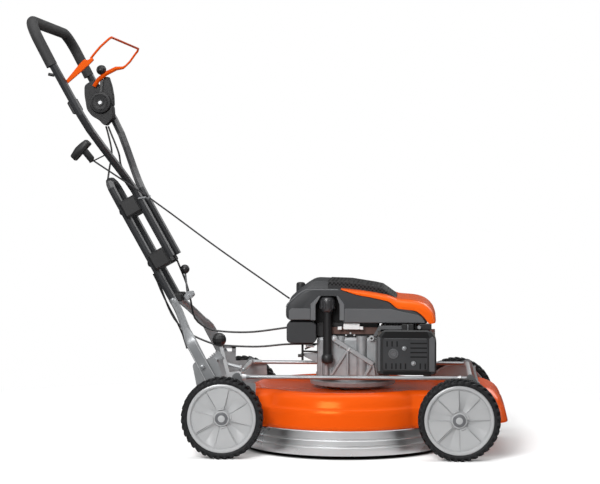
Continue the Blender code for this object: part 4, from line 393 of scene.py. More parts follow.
PANEL_TURN = {"rear": 9.0, "front": 24.5}
HUB_RIB, HUB_RIB_PLACE = (0.004, 0.005, 0.012), (0.0235, 0.0155, 0.0)
PANEL_RIB, PANEL_RIB_PLACE = (0.056, 0.0044, 0.0013), (0.0495, 0.0135, 0.0)


def panel_height(angle_degrees, radius):
    """How far the face of the dish stands out or in at this place."""
    off = (angle_degrees + 45.0) % 90.0 - 45.0
    if abs(off) <= PANEL_HALF_ANGLE:
        return PANEL_LIFT
    share = (abs(off) - PANEL_HALF_ANGLE) / (45.0 - PANEL_HALF_ANGLE)
    reach = (radius - PANEL_INNER) / (PANEL_OUTER - PANEL_INNER)
    return -SWEEP_DROP * (0.3 + 0.7 * share) * math.cos(math.pi / 2 * min(1.0, max(0.0, reach))) ** 0.7


for wheel_name, (hub, side) in WHEELS.items():
    rim = turned(RIM_SECTION, RIM_STEPS, (0.0, 0.0, 0.0), "Y")
    for corner in rim.verts:
        radius = math.hypot(corner.co.x, corner.co.z)
        if PANEL_INNER < radius < PANEL_OUTER and corner.co.y > 0.008:
            angle = math.degrees(math.atan2(corner.co.z, corner.co.x))
            corner.co.y += panel_height(angle, radius)
    for quarter in range(4):
        turn = Matrix.Rotation(-math.radians(90.0 * quarter), 4, "Y")
        add_block(rim, HUB_RIB, 0.001, turn @ Matrix.Translation(HUB_RIB_PLACE))
        for edge_angle in (-PANEL_HALF_ANGLE, PANEL_HALF_ANGLE):
            turn = Matrix.Rotation(-math.radians(90.0 * quarter + edge_angle), 4, "Y")
            add_block(rim, PANEL_RIB, 0.0005, turn @ Matrix.Translation(PANEL_RIB_PLACE))
    # The dish looks to +Y here. On the right it turns to -Y about Z, which mirrors the angles.
    facing = Matrix.Rotation(math.pi if side < 0 else 0.0, 4, "Z")
    panel_turn = PANEL_TURN[wheel_name.split("_")[0]]
    start = math.radians(180.0 - panel_turn if side < 0 else panel_turn)
    rolled = Matrix.Rotation(-start, 4, "Y")
    bmesh.ops.transform(rim, verts=rim.verts[:], matrix=Matrix.Translation(hub) @ facing @ rolled)
    finished_piece("dish_" + wheel_name, rim, pale_rim, "wheel_" + wheel_name,
                   ("rim_" + wheel_name,), 28.0)

# Hub caps: small discs of darker grey polypropylene, pressed into the rims over the axle nuts.
# They stay bare, with a raised edge and a lighter middle.
# Darker moulding: a satin spot that parts the hub from the dish.
cap_grey = start_finish("moulded_grey_cap", "#58595B", "#66676A", 12, 0.32, 2.5, 0.02)
CAP_SECTION = ((0.0, 0.0203), (0.0052, 0.0203), (0.0064, 0.0214), (0.0118, 0.0214), (0.0132, 0.0202),
               (0.0152, 0.0202), (0.0166, 0.0194), (0.0166, 0.017), (0.0, 0.017))
BUTTON_SECTION = ((0.0, 0.0223), (0.006, 0.0223), (0.0072, 0.0217), (0.0086, 0.0217), (0.0096, 0.0205), (0.0, 0.0205))
for wheel_name, (hub, side) in WHEELS.items():
    for piece_name, section, material in (("hub_cap_", CAP_SECTION, cap_grey),
                                          ("hub_button_", BUTTON_SECTION, pale_rim)):
        disc = turned([(radius, side * reach) for radius, reach in section], 40, hub, "Y")
        finished_piece(piece_name + wheel_name, disc, material, "wheel_" + wheel_name)

# Chassis fittings: zinc plated bolts with domed heads and washers, and a pivot sleeve on the right.
# They are bolted through the side plates. The rope guide, the blade and its bolt have the same plating.
# Zinc plating: cool grey and half metallic, slightly mottled.
zinc_plate = start_finish("zinc_plated_sheet", "#8A8C8E", "#A6A8AA", 22, 0.38, 3.0, 0.03, Metallic=0.7)


def paint(material, *names, edge_mm=0.0):
    """Gives CAD nodes a finish in place of their flat one, and rounds their edges."""
    for name in names:
        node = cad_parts[name]
        for place in node.material_slots:
            place.material = material
        if edge_mm:
            rounding = node.modifiers.new("rounded_edges", "BEVEL")
            rounding.width = edge_mm / 1000.0
            rounding.segments = 2
            rounding.limit_method = "ANGLE"
            rounding.angle_limit = math.radians(32.0)


def add_rod(shape, start, end, radius, end_radius=None, steps=20):
    """A round bar, or a cone, between two places measured from the crank axis."""
    start, end = Vector(start), Vector(end)
    turn = (end - start).to_track_quat("Z", "Y").to_matrix().to_4x4()
    bmesh.ops.create_cone(shape, cap_ends=True, segments=steps, radius1=radius,
                          radius2=radius if end_radius is None else end_radius, depth=(end - start).length,
                          matrix=at(*((start + end) / 2)) @ turn)


def add_wire(shape, points, radius):
    """A thin wire bent at each of the points."""
    for start, end in zip(points, points[1:]):
        add_rod(shape, start, end, radius, steps=10)


def add_bolt(shape, x, y, z, radius, out=-1.0):
    """A hexagon head over a washer, looking out along Y."""
    add_rod(shape, (x, y, z), (x, y + out * radius * 0.22, z), radius * 1.3, steps=24)
    add_rod(shape, (x, y + out * radius * 0.22, z), (x, y + out * radius * 0.85, z), radius, radius * 0.94, 6)
    add_rod(shape, (x, y + out * radius * 0.85, z), (x, y + out * radius * 0.98, z), radius * 0.7, radius * 0.4, 12)


paint(zinc_plate, "rope_guide", "blade", "blade_bolt")
fittings = bmesh.new()
for side in (-1, 1):
    add_bolt(fittings, -0.3587, side * 0.2104, 0.2285, 0.0072, side)
add_rod(fittings, (-0.305, -0.126, 0.2262), (-0.269, -0.126, 0.2176), 0.0062)
add_rod(fittings, (-0.27, -0.126, 0.2178), (-0.266, -0.126, 0.2168), 0.0085)
add_bolt(fittings, -0.2599, -0.128, 0.2136, 0.0048)
finished_piece("chassis_fittings", fittings, zinc_plate, "chassis")

# Side plates and front strap: 3 mm steel sheet, cut, folded and zinc plated, with tumbled edges.
# The right rear plate carries the height lever's toothed rack, and the left one has folded tabs on top.
PLATE_OUT, PLATE_IN = 0.1983, 0.1953


def rounded(outline, radius, steps=4):
    """The outline with each corner turned into an arc."""
    points = []
    for index, corner in enumerate(outline):
        corner = Vector(corner)
        before = Vector(outline[index - 1])
        after = Vector(outline[(index + 1) % len(outline)])
        reach = min(radius, (before - corner).length * 0.48, (after - corner).length * 0.48)
        start = corner + (before - corner).normalized() * reach
        end = corner + (after - corner).normalized() * reach
        for step in range(steps + 1):
            share = step / steps
            points.append(tuple(start * (1 - share) ** 2 + corner * 2 * share * (1 - share) + end * share ** 2))
    return points


def add_sheet(shape, outline, near_y, far_y, edge=0.0):
    """A flat piece cut to (x, z) points measured from the crank axis."""
    corners = [shape.verts.new((CRANK_X + x, far_y, z)) for x, z in outline]
    face = shape.faces.new(corners)
    pushed = bmesh.ops.extrude_face_region(shape, geom=[face])["geom"]
    near = [item for item in pushed if isinstance(item, bmesh.types.BMVert)]
    bmesh.ops.translate(shape, verts=near, vec=(0.0, near_y - far_y, 0.0))
    faces = list({item for corner in corners + near for item in corner.link_faces})
    bmesh.ops.recalc_face_normals(shape, faces=faces)
    front = next(item for item in faces if all(corner in near for corner in item.verts))
    if edge:
        bmesh.ops.inset_region(shape, faces=[front], thickness=edge, depth=0.0)
        bmesh.ops.translate(shape, verts=front.verts[:], vec=(0.0, math.copysign(edge, near_y - far_y), 0.0))


def box_line(x0, z0, x1, z1):
    """The outline of an upright rectangle."""
    return (x0, z0), (x1, z0), (x1, z1), (x0, z1)


NEAR_REAR = ((-0.3856, 0.23), (-0.3817, 0.2371), (-0.3712, 0.2418), (-0.353, 0.2471), (-0.3244, 0.2478),
             (-0.3159, 0.2266), (-0.304, 0.19), (-0.3036, 0.179), (-0.298, 0.1715), (-0.288, 0.1705), (-0.28, 0.18),
             (-0.2622, 0.1843), (-0.222, 0.1859), (-0.222, 0.1496), (-0.2181, 0.1289), (-0.2182, 0.077),
             (-0.3013, 0.0632), (-0.3533, 0.1017), (-0.374, 0.1717))
FAR_REAR = ((-0.3137, 0.2283), (-0.3146, 0.2022), (-0.2937, 0.204), (-0.2404, 0.205), (-0.2275, 0.191),
            (-0.2258, 0.1574), (-0.2405, 0.1039), (-0.3755, 0.1028), (-0.3866, 0.1983), (-0.3796, 0.2152),
            (-0.3612, 0.2266), (-0.3507, 0.2283))
FRONT = ((0.24, 0.085), (0.24, 0.118), (0.3, 0.13), (0.344, 0.149), (0.354, 0.156), (0.369, 0.156), (0.377, 0.148),
         (0.377, 0.085))
rear_right = bmesh.new()
add_sheet(rear_right, rounded(NEAR_REAR, 0.004), -PLATE_OUT, -PLATE_IN)
HINGE = Vector((-0.24, 0.1443))
# The rack as (degrees, radius) round the lever's hinge: the smooth inner edge, then six teeth
TOOTH = ((2.4, 0.144), (1.7, 0.1492), (0.7, 0.1492), (0.0, 0.144))
round_hinge = [(turn, 0.124) for turn in range(124, 140, 3)]
for tooth in range(5, -1, -1):
    round_hinge += [(124.0 + 2.4 * tooth + turn, reach) for turn, reach in TOOTH]
rack = [tuple(HINGE + Vector((math.cos(math.radians(turn)), math.sin(math.radians(turn)))) * reach)
        for turn, reach in round_hinge]
add_sheet(rear_right, rack, -0.1582, -0.1552, 0.0004)
add_block(rear_right, (0.012, 0.042, 0.003), 0.0006, at(-0.329, -0.1765, 0.242))
finished_piece("near_rear_plate", rear_right, zinc_plate, "chassis", ("rear_plate_right",))
rear_left = bmesh.new()
add_sheet(rear_left, rounded(FAR_REAR, 0.003), PLATE_IN, PLATE_OUT)
for tab in ((-0.3517, 0.2273, -0.3457, 0.2441), (-0.3252, 0.2273, -0.3137, 0.2441),
            (-0.3517, 0.2371, -0.3137, 0.2447)):
    add_sheet(rear_left, rounded(box_line(*tab), 0.0015), PLATE_IN, PLATE_OUT)
finished_piece("far_rear_plate", rear_left, zinc_plate, "chassis", ("rear_plate_left",))
for side, side_name in ((-1, "right"), (1, "left")):
    front_plate = bmesh.new()
    add_sheet(front_plate, rounded(FRONT, 0.003), side * PLATE_OUT, side * PLATE_IN)
    finished_piece("front_wheel_plate_" + side_name, front_plate, zinc_plate, "chassis",
                   ("front_plate_" + side_name,))
strap = bmesh.new()
add_block(strap, (0.006, 0.3966, 0.003), 0.0006, at(0.3485, 0.0, 0.1912))
for side in (-1, 1):
    add_block(strap, (0.012, 0.003, 0.056), 0.0006, at(0.3485, side * 0.1968, 0.1647))
finished_piece("folded_front_strap", strap, zinc_plate, "chassis", ("front_cross_strap",))

# Arms, tie bars, link rods and the height lever: bright drawn steel, bent and welded.
# Each rod is screwed into a forged eye, and a conical nut locks it. The crankshaft has the same finish.
# Drawn steel: grey and almost fully metallic, so that the bars carry a long highlight.
drawn_steel = start_finish("drawn_bright_steel", "#87898B", "#A3A5A7", 35, 0.3, 2.5, 0.002, Metallic=0.9)
paint(drawn_steel, "rear_arm_right", "rear_arm_left", "front_arm_right", "front_arm_left", "link_rod_right",
      "link_rod_left", "crankshaft")
# Ground steel: less metallic, and paler as a painted highlight, so that thin bars and nuts keep a light edge.
ground_steel_and_highlight = start_finish("ground_flat_steel_painted_highlight", "#C2C4C6", "#DADBDC", 30, 0.3, 2.5, 0.01, Metallic=0.4)
paint(ground_steel_and_highlight, "height_lever", edge_mm=0.5)
paint(ground_steel_and_highlight, "front_tie_bar", "rear_tie_bar")
ROD_Y, ROD_Z = -0.186, 0.20034
rod_nuts = bmesh.new()
for start_x, end_x, start_radius, end_radius in ((-0.258, -0.243, 0.0085, 0.0058), (0.298, 0.306, 0.0054, 0.008)):
    add_rod(rod_nuts, (start_x, ROD_Y, ROD_Z), (end_x, ROD_Y, ROD_Z), start_radius, end_radius, 24)
finished_piece("rod_nuts_right", rod_nuts, ground_steel_and_highlight, "link_rods")

# Engine base, crankcase and cylinder: die-cast aluminium, bead blasted, with ribs and a pitted matt skin.
# The base is bolted through the deck, and the crankcase is cast in one with its mounting flange.
# Blasted casting: pale, matt and slightly pitted, so that ribs and bosses show by their shade.
cast_skin = start_finish("die_cast_aluminium", "#858789", "#AEB0B2", 18, 0.5, 2.5, 0.12, Metallic=0.45)
paint(cast_skin, "engine_base", "crankcase", "cylinder_block", edge_mm=2.0)
paint(cast_skin, "flywheel", "blade_carrier")


def strip(start, end, half_width):
    """The outline of a straight rib between two points, with a radius at each end."""
    start, end = Vector(start), Vector(end)
    across = (end - start).orthogonal().normalized() * half_width
    ends = (start + across, end + across, end - across, start - across)
    return rounded([tuple(point) for point in ends], half_width * 0.6, 3)


CASE_FACE = -0.1146
CASE_WEB = ((-0.032, 0.196), (0.0112, 0.196), (0.0112, 0.264))
CASE_FOOT = ((-0.112, 0.254), (-0.056, 0.257), (-0.056, 0.222), (-0.065, 0.229), (-0.099, 0.244))
# Ribs as (start, end, half width, near face, edge), columns as (x, y, foot, head, radius, steps)
CASE_RIBS = (((-0.033, 0.1955), (0.013, 0.268), 0.0036, -0.124, 0.001),
             ((0.0124, 0.195), (0.0124, 0.266), 0.0026, -0.124, 0.0008),
             ((-0.025, 0.295), (0.08, 0.2285), 0.006, -0.1255, 0.0012),
             ((0.056, 0.195), (0.0745, 0.227), 0.0034, -0.123, 0.0008),
             ((0.083, 0.195), (0.079, 0.227), 0.0028, -0.123, 0.0008))
CASE_COLUMNS = ((0.049, -0.109, 0.196, 0.3015, 0.015, 32), (-0.005, -0.107, 0.272, 0.3015, 0.012, 32),
                (-0.043, -0.12, 0.195, 0.229, 0.006, 20), (-0.056, -0.114, 0.195, 0.242, 0.0048, 20),
                (-0.032, -0.116, 0.195, 0.214, 0.0042, 20))
ribs = bmesh.new()
add_sheet(ribs, CASE_WEB, -0.118, CASE_FACE, 0.0006)
for start, end, half_width, near, edge in CASE_RIBS:
    add_sheet(ribs, strip(start, end, half_width), near, CASE_FACE, edge)
for x, y, foot, head, radius, steps in CASE_COLUMNS:
    add_rod(ribs, (x, y, foot), (x, y, head), radius, steps=steps)
for x, z, near, radius in ((-0.0227, 0.2962, -0.126, 0.0082), (0.0751, 0.2968, -0.124, 0.0078)):
    add_rod(ribs, (x, CASE_FACE, z), (x, near, z), radius)
add_sheet(ribs, CASE_FOOT, -0.104, -0.1, 0.0006)
finished_piece("crankcase_ribs", ribs, cast_skin, "chassis", crease=30.0)

case_bolts = bmesh.new()
add_bolt(case_bolts, -0.0227, -0.126, 0.2962, 0.0048)
add_rod(case_bolts, (0.0751, -0.124, 0.2968), (0.0751, -0.1268, 0.2968), 0.0062)
for x, z in ((0.0082, 0.3043), (0.0199, 0.3096), (0.0299, 0.3044)):
    add_rod(case_bolts, (x, -0.1195, z), (x, -0.1225, z), 0.0024, steps=12)
add_sheet(case_bolts, strip((0.0135, 0.264), (0.0185, 0.272), 0.0028), -0.129, -0.125, 0.0006)
add_rod(case_bolts, (-0.098, -0.108, 0.2735), (-0.076, -0.108, 0.2735), 0.003, steps=12)
finished_piece("crankcase_bolts", case_bolts, ground_steel_and_highlight, "chassis")

# Inlet plate: milled aluminium with a block at each end, anodised white silver.
# It is screwed to the inlet, between cylinder and cowling, and is the engine's brightest spot.
milled = start_finish("anodised_milled_aluminium", "#DCDCDC", "#F0F0F0", 20, 0.45, 2.5, 0.01, Metallic=0.1)
inlet = bmesh.new()
add_block(inlet, (0.0105, 0.008, 0.008), 0.0008, at(-0.0075, -0.133, 0.3238))
add_block(inlet, (0.0095, 0.008, 0.008), 0.0008, at(0.049, -0.133, 0.3242))
add_sheet(inlet, rounded(box_line(0.002, 0.3206, 0.0442, 0.3366), 0.002), -0.1345, -0.1305, 0.0006)
finished_piece("inlet_plate", inlet, milled, "chassis")

# Gasket and inlet spacer between cylinder and cowling: pressed fibre, clamped by the inlet's screws.
# Brown and without any sheen, they show as a warm dark line.
fibre = start_finish("pressed_brown_fibre", "#4A3833", "#6A5048", 8, 0.8, 2.5, 0.15)
gasket = bmesh.new()
for near, far in ((-0.119, -0.03), (0.03, 0.105)):
    add_sheet(gasket, box_line(-0.0285, 0.3072, 0.09, 0.325), near, far)
finished_piece("inlet_gasket", gasket, fibre, "chassis")

# Dark underside of the cowling and the linkage on its left: moulded nylon and blackened wire.
# They fill the gap between cast metal and cowling, where their black is in part painted shade, and hold the
# carburettor's levers.
# Moulded nylon: black with a dull sheen, which keeps small shapes readable in the shade.
black_nylon = start_finish("moulded_black_nylon", "#19191A", "#252526", 40, 0.44, 2.5, 0.05, Specular_IOR_Level=0.4)
THROAT = ((0.012, 0.3035), (0.03, 0.3035), (0.034, 0.3075), (0.006, 0.3075))
STAY = ((0.0911, 0.3016), (0.1054, 0.3184), (0.1547, 0.3187), (0.1547, 0.314), (0.108, 0.3138), (0.0963, 0.299))
# Wires of the linkage as (start x, start height, end x, end height, y, radius)
LINKAGE = ((-0.106, 0.26, -0.056, 0.259, -0.108, 0.0026), (-0.1, 0.266, -0.07, 0.279, -0.108, 0.0022),
           (-0.1062, 0.237, -0.1062, 0.279, -0.112, 0.003), (-0.118, 0.249, -0.106, 0.249, -0.112, 0.004))
underside = bmesh.new()
for near, far in ((-0.112, -0.03), (0.03, 0.112)):
    add_sheet(underside, box_line(-0.068, 0.3005, 0.09, 0.3366), near, far)
add_sheet(underside, rounded(THROAT, 0.001), -0.1185, -0.115)
for start_x, start_z, end_x, end_z, y, radius in LINKAGE:
    add_rod(underside, (start_x, y, start_z), (end_x, y, end_z), radius, steps=12)
add_rod(underside, (0.0751, -0.1268, 0.2968), (0.0751, -0.1274, 0.2968), 0.0032)
for low_x, high_x, low_z in ((0.154, 0.168, 0.319), (0.172, 0.185, 0.319), (0.199, 0.231, 0.3215)):
    add_block(underside, (high_x - low_x, 0.022, 0.3368 - low_z), 0.0012,
              at((low_x + high_x) / 2, -0.14, (0.3368 + low_z) / 2))
add_sheet(underside, rounded(STAY, 0.002), -0.142, -0.138, 0.0006)
finished_piece("cowling_underside_and_gap_shade", underside, black_nylon, "chassis")

# Throttle bracket: a bent strip of steel in grey paint, screwed to the crankcase above the muffler guard.
# It carries the governor's lever. Its satin paint lies between the casting's pale and the nylon's black.
bracket_grey = start_finish("painted_bracket_steel", "#505153", "#5E5F61", 30, 0.4, 2.5, 0.02)
BRACKET = ((0.0789, 0.3038), (0.0886, 0.3023), (0.1002, 0.3212), (0.1547, 0.3215), (0.1547, 0.3318), (0.095, 0.3316))
bracket = bmesh.new()
add_sheet(bracket, rounded(BRACKET, 0.003), -0.145, -0.141, 0.001)
finished_piece("throttle_bracket", bracket, bracket_grey, "chassis")

# Engine cowling: dark grey ABS, moulded with a fine even grain and a raised lower panel on each side.
# A thin ridge runs along its shoulder, lighter as a painted highlight, and a deep recess holds the dipstick.
# Grained ABS: dark grey and dull, so that the lamp's light spreads over the whole side.
grey_abs = start_finish("moulded_grey_abs", "#2E2F31", "#38393B", 80, 0.48, 2.5, 0.05, Specular_IOR_Level=0.35)
BEZEL_SEAT = ((-0.005, 0.425), (0.0351, 0.4115), (0.0769, 0.404), (0.1194, 0.3945), (0.13, 0.3865), (0.1417, 0.3755),
              (0.1896, 0.3708), (0.2038, 0.3612), (0.2142, 0.3505), (0.2228, 0.3372))
COWL_BACK = ((0.0, 0.337), (-0.06, 0.3445), (-0.14, 0.3445), (-0.1475, 0.352), (-0.148, 0.374))
COWL_SIDE = COWL_BACK + ((-0.1438, 0.387), (-0.1312, 0.3985), (-0.1156, 0.4125), (-0.1002, 0.4226),
                         (-0.0895, 0.425)) + BEZEL_SEAT
COWL_CROWN = COWL_BACK + ((-0.1385, 0.402), (-0.124, 0.4147), (-0.1013, 0.432), (-0.085, 0.4415),
                          (-0.074, 0.4442), (-0.036, 0.443), (0.0345, 0.4245), (0.0769, 0.4134),
                          (0.118, 0.4026), (0.126, 0.396)) + BEZEL_SEAT[5:]
COWL_MIDDLE = Vector((0.02, 0.385))


def join_loops(shape, loops):
    """A closed skin over a row of edge loops."""
    for first, second in zip(loops, loops[1:]):
        bmesh.ops.bridge_loops(shape, edges=first + second)
    for loop in (loops[0], loops[-1]):
        bmesh.ops.contextual_create(shape, geom=loop)
    bmesh.ops.recalc_face_normals(shape, faces=shape.faces[:])


def loft(shape, stations):
    """A closed skin over outlines of (x, z) points measured from the crank axis, one at each y."""
    loops = []
    for y, outline in stations:
        corners = [shape.verts.new((CRANK_X + x, y, z)) for x, z in outline]
        loops.append([shape.edges.new((corners[index - 1], corners[index])) for index in range(len(corners))])
    join_loops(shape, loops)


def drawn_in(outline, share):
    """The outline shrunk towards the cowling's middle."""
    return [tuple(COWL_MIDDLE + (Vector(point) - COWL_MIDDLE) * share) for point in outline]


side_line = rounded(COWL_SIDE, 0.008, 2)
crown_line = rounded(COWL_CROWN, 0.008, 2)
half_stations = [(0.145, drawn_in(side_line, 0.945)), (0.1442, drawn_in(side_line, 0.965)),
                 (0.142, drawn_in(side_line, 0.985)), (0.1385, side_line), (0.099, side_line),
                 (0.096, [((a + c) / 2, (b + d) / 2) for (a, b), (c, d) in zip(side_line, crown_line)]),
                 (0.09, crown_line)]
cowling = bmesh.new()
loft(cowling, [(-y, line) for y, line in half_stations] + [(y, line) for y, line in reversed(half_stations)])
RECESS_CORNERS = (((-0.0785, 0.409), (-0.056, 0.409), (-0.066, 0.3985), (-0.0785, 0.386)),
                  ((-0.015, 0.409), (0.003, 0.409), (0.003, 0.382)))
RECESS_START, RECESS_END, RECESS_TOP, RECESS_FLOOR = -0.0775, 0.0016, 0.4084, -0.1095
for place, normal in (((CRANK_X + RECESS_START, 0, 0), (1, 0, 0)), ((CRANK_X + RECESS_END, 0, 0), (1, 0, 0)),
                      ((0, 0, RECESS_TOP), (0, 0, 1)), ((0, RECESS_FLOOR, 0), (0, 1, 0))):
    bmesh.ops.bisect_plane(cowling, geom=cowling.verts[:] + cowling.edges[:] + cowling.faces[:], dist=0.00001,
                           plane_co=place, plane_no=normal)
opened = []
for face in cowling.faces:
    middle = face.calc_center_median()
    if RECESS_START < middle.x - CRANK_X < RECESS_END and middle.z < RECESS_TOP and middle.y < RECESS_FLOOR:
        opened.append(face)
bmesh.ops.delete(cowling, geom=opened, context="FACES")
add_rod(cowling, (-0.124, 0.085, 0.39), (-0.124, 0.085, 0.4215), 0.0125)
for outline in RECESS_CORNERS:
    add_sheet(cowling, outline, -0.1448, -0.112)
finished_piece("cowling", cowling, grey_abs, "chassis", ("blower_shroud",), 30.0)
# Plain ABS: smoother and lighter than the grained skin around it.
panel_abs = start_finish("moulded_grey_abs_panel", "#515254", "#5B5C5E", 80, 0.38, 2.5, 0.04)
PANELS = (((-0.14, 0.3462), (-0.0835, 0.3462), (-0.0835, 0.3752), (-0.133, 0.3752), (-0.14, 0.37)),
          ((0.005, 0.3395), (0.215, 0.3395), (0.206, 0.354), (0.196, 0.3598), (0.14, 0.3712), (0.125, 0.3752),
           (0.005, 0.3752)))
RIDGE_LINE = ((-0.1466, 0.3775), (-0.1432, 0.3866), (-0.1306, 0.3981), (-0.1152, 0.4119), (-0.1, 0.4217),
              (-0.0895, 0.424), (-0.012, 0.424))
panels = bmesh.new()
ridges = bmesh.new()
for side in (-1, 1):
    for outline in PANELS:
        add_sheet(panels, rounded(outline, 0.003), side * 0.1454, side * 0.144, 0.0008)
    add_wire(ridges, [(x, side * 0.1392, z) for x, z in RIDGE_LINE], 0.002)
RECESS_LIPS = (((-0.056, 0.4085), (-0.061, 0.4085), (-0.083, 0.387), (-0.083, 0.3448), (-0.07, 0.3448),
                (-0.07, 0.385)),
               ((-0.011, 0.4085), (-0.016, 0.4085), (-0.0075, 0.385), (-0.0075, 0.3448), (0.0048, 0.3448),
                (0.0048, 0.387)))
for outline in RECESS_LIPS:
    add_sheet(ridges, outline, -0.1458, -0.143, 0.001)
finished_piece("cowling_panels", panels, panel_abs, "chassis")
# Painted highlight: the lightest of the greys, a thin line along each edge.
ridge_painted_highlight = start_finish("grey_abs_ridge_painted_highlight", "#5C5D5F", "#68696B", 60, 0.34, 2.5, 0.03)
finished_piece("cowling_ridges", ridges, ridge_painted_highlight, "chassis")
RECESS_SHADE_WALLS = ((-0.077, 0.0011, -0.1112, -0.1098), (-0.077, -0.0745, -0.144, -0.1112),
               (-0.0015, 0.0011, -0.144, -0.1112))
recess_shade = bmesh.new()
for start_x, end_x, near, far in RECESS_SHADE_WALLS:
    add_sheet(recess_shade, box_line(start_x, 0.3376, end_x, 0.4078), near, far)
# Painted shade: almost black and without a highlight, so that the recess looks deep.
shade_black = start_finish("painted_shade_black", "#0A0A0A", "#121213", 30, 0.6, 2.5, 0.05, Specular_IOR_Level=0.2)
finished_piece("recess_painted_shade", recess_shade, shade_black, "chassis")

# Filter box under the cowling: dark grey ABS with rounded corners and a sunk front panel.
# Two clips hold it, and its lid faces the user.
lid_shape = bmesh.new()
add_sheet(lid_shape, rounded(box_line(-0.1466, 0.2834, -0.069, 0.3398), 0.014, 6), -0.1332, 0.02, 0.0018)
finished_piece("filter_box", lid_shape, grey_abs, "chassis", ("air_filter_cover",), 5.0)
lid_panel = bmesh.new()
add_sheet(lid_panel, rounded(box_line(-0.129, 0.296, -0.08, 0.3345), 0.004), -0.134, -0.132, 0.0006)
# Sunk panel: darker than the box, since its own edge shades it.
lid_painted_shade = start_finish("abs_panel_painted_shade", "#242526", "#2D2E2F", 80, 0.42, 2.5, 0.04)
finished_piece("filter_box_panel", lid_panel, lid_painted_shade, "chassis")

# Starter grille: a black nylon mesh over the fan, with rows of small round holes.
# The holes are 7 mm apart, a little coarser than the real ones, so that the eye can part them here.
grille_nylon = start_finish("moulded_nylon_mesh", "#141415", "#1E1E1F", 30, 0.55, 2.5, 0.05, Specular_IOR_Level=0.15)
mesh_tree = grille_nylon.node_tree
mesh_place = add(mesh_tree, "ShaderNodeTexCoord").outputs["Object"]
slanted = add(mesh_tree, "ShaderNodeMapping", {"Vector": mesh_place}, Rotation=(0.0, math.radians(45.0), 0.0))
holes = add(mesh_tree, "ShaderNodeTexVoronoi", {"Vector": slanted.outputs[0]}, Scale=140.0, Randomness=0.0)
hole_edge = add(mesh_tree, "ShaderNodeMapRange", {"Value": holes.outputs["Distance"]}, From_Min=0.3, From_Max=0.42)
# Painted shade: the holes are near black, for the shaded fan behind them.
hole_painted_shade = add(mesh_tree, "ShaderNodeMixRGB", {"Fac": hole_edge.outputs[0]}, Color1=linear("#030303"),
                Color2=linear("#2C2C2D"))
hole_relief = add(mesh_tree, "ShaderNodeBump", {"Height": hole_edge.outputs[0]}, Strength=1.0, Distance=0.0015)
mesh_shader = mesh_tree.nodes["Principled BSDF"]
mesh_tree.links.new(hole_painted_shade.outputs[0], mesh_shader.inputs["Base Color"])
mesh_tree.links.new(hole_relief.outputs[0], mesh_shader.inputs["Normal"])
GRILLE_TOP = ((-0.04, 0.4442), (0.0159, 0.4424), (0.0485, 0.4374), (0.0811, 0.4322), (0.1001, 0.428),
              (0.1164, 0.4172), (0.1327, 0.405), (0.14, 0.3985))
GRILLE_SEAT = ((0.14, 0.395), (0.119, 0.396), (0.0769, 0.4052), (0.0345, 0.413), (-0.005, 0.424), (-0.04, 0.424))


def height_on(line, x, height):
    """The height of a line of (x, z) points at x, or the given one where the line does not reach."""
    for (x0, z0), (x1, z1) in zip(line, line[1:]):
        if x0 <= x <= x1:
            height = z0 + (z1 - z0) * (x - x0) / (x1 - x0)
    return height


def grille_line(share):
    """The hood's outline with its top at a share of its height over the cowling."""
    top = []
    for x, z in GRILLE_TOP:
        low = height_on(GRILLE_SEAT[::-1], x, z) + 0.0005
        top.append((x, low + (z - low) * share))
    return top + list(GRILLE_SEAT)


HOOD_SIDE = ((0.104, 0.1), (0.102, 0.45), (0.0985, 0.85), (0.095, 1.0))
hood = bmesh.new()
loft(hood, [(-y, grille_line(share)) for y, share in HOOD_SIDE]
     + [(y, grille_line(share)) for y, share in HOOD_SIDE[::-1]])
finished_piece("grille_hood", hood, grille_nylon, "chassis", ("starter_grille",), 40.0)

# Front bezel of the cowling: orange ABS, moulded glossy, clipped over the cowling's nose.
# Its long point runs back along the shoulder, and a soft edge catches the light.
# Glossy ABS: a touch lighter than the deck's enamel, with an orange tint in its reflections.
orange_abs = start_finish("moulded_orange_abs", "#EA5812", "#F2641A", 120, 0.22, 3.0, 0.006,
                          Specular_IOR_Level=0.5, Specular_Tint=linear("#FF9648"))
BEZEL_TOP = ((0.2425, 0.3372), (0.242, 0.348), (0.2358, 0.3671), (0.2249, 0.3807), (0.2113, 0.3902), (0.1949, 0.3956),
             (0.1786, 0.398), (0.1423, 0.4005), (0.1161, 0.4098), (0.0834, 0.416), (0.0441, 0.4218),
             (-0.0044, 0.4266))


def bezel_line(share, start_x=-1.0):
    """The bezel's outline with its top edge at a share of its height over the seat."""
    seat = [point for point in BEZEL_SEAT if point[0] >= start_x]
    if seat[0][0] > start_x > -1.0:
        seat.insert(0, (start_x, 0.3753))
    top = []
    for x, z in BEZEL_TOP:
        if x < start_x:
            continue
        seat_x, seat_z = BEZEL_SEAT[-1]
        low = height_on(BEZEL_SEAT, x, seat_z)
        x_out = x if x <= seat_x else seat_x + (x - seat_x) * (0.35 + 0.65 * share)
        top.append((x_out, max(low + (z - low) * share, low + 0.0002)))
    if top[-1][0] > start_x > -1.0:
        top.append((start_x, 0.4))
    return rounded([(x, z + 0.0004) for x, z in seat] + top, 0.006, 2)


BEZEL_SIDE = ((0.1455, 0.28), (0.144, 0.5), (0.14, 0.72), (0.132, 0.9), (0.122, 0.98), (0.1046, 1.0))
bezel = bmesh.new()
for side in (-1, 1):
    loft(bezel, [(side * y, bezel_line(share)) for y, share in BEZEL_SIDE])
loft(bezel, [(y, bezel_line(1.0, 0.139)) for y in (-0.105, 0.0, 0.105)])
finished_piece("bezel", bezel, orange_abs, "chassis", ("shroud_trim",), 32.0)

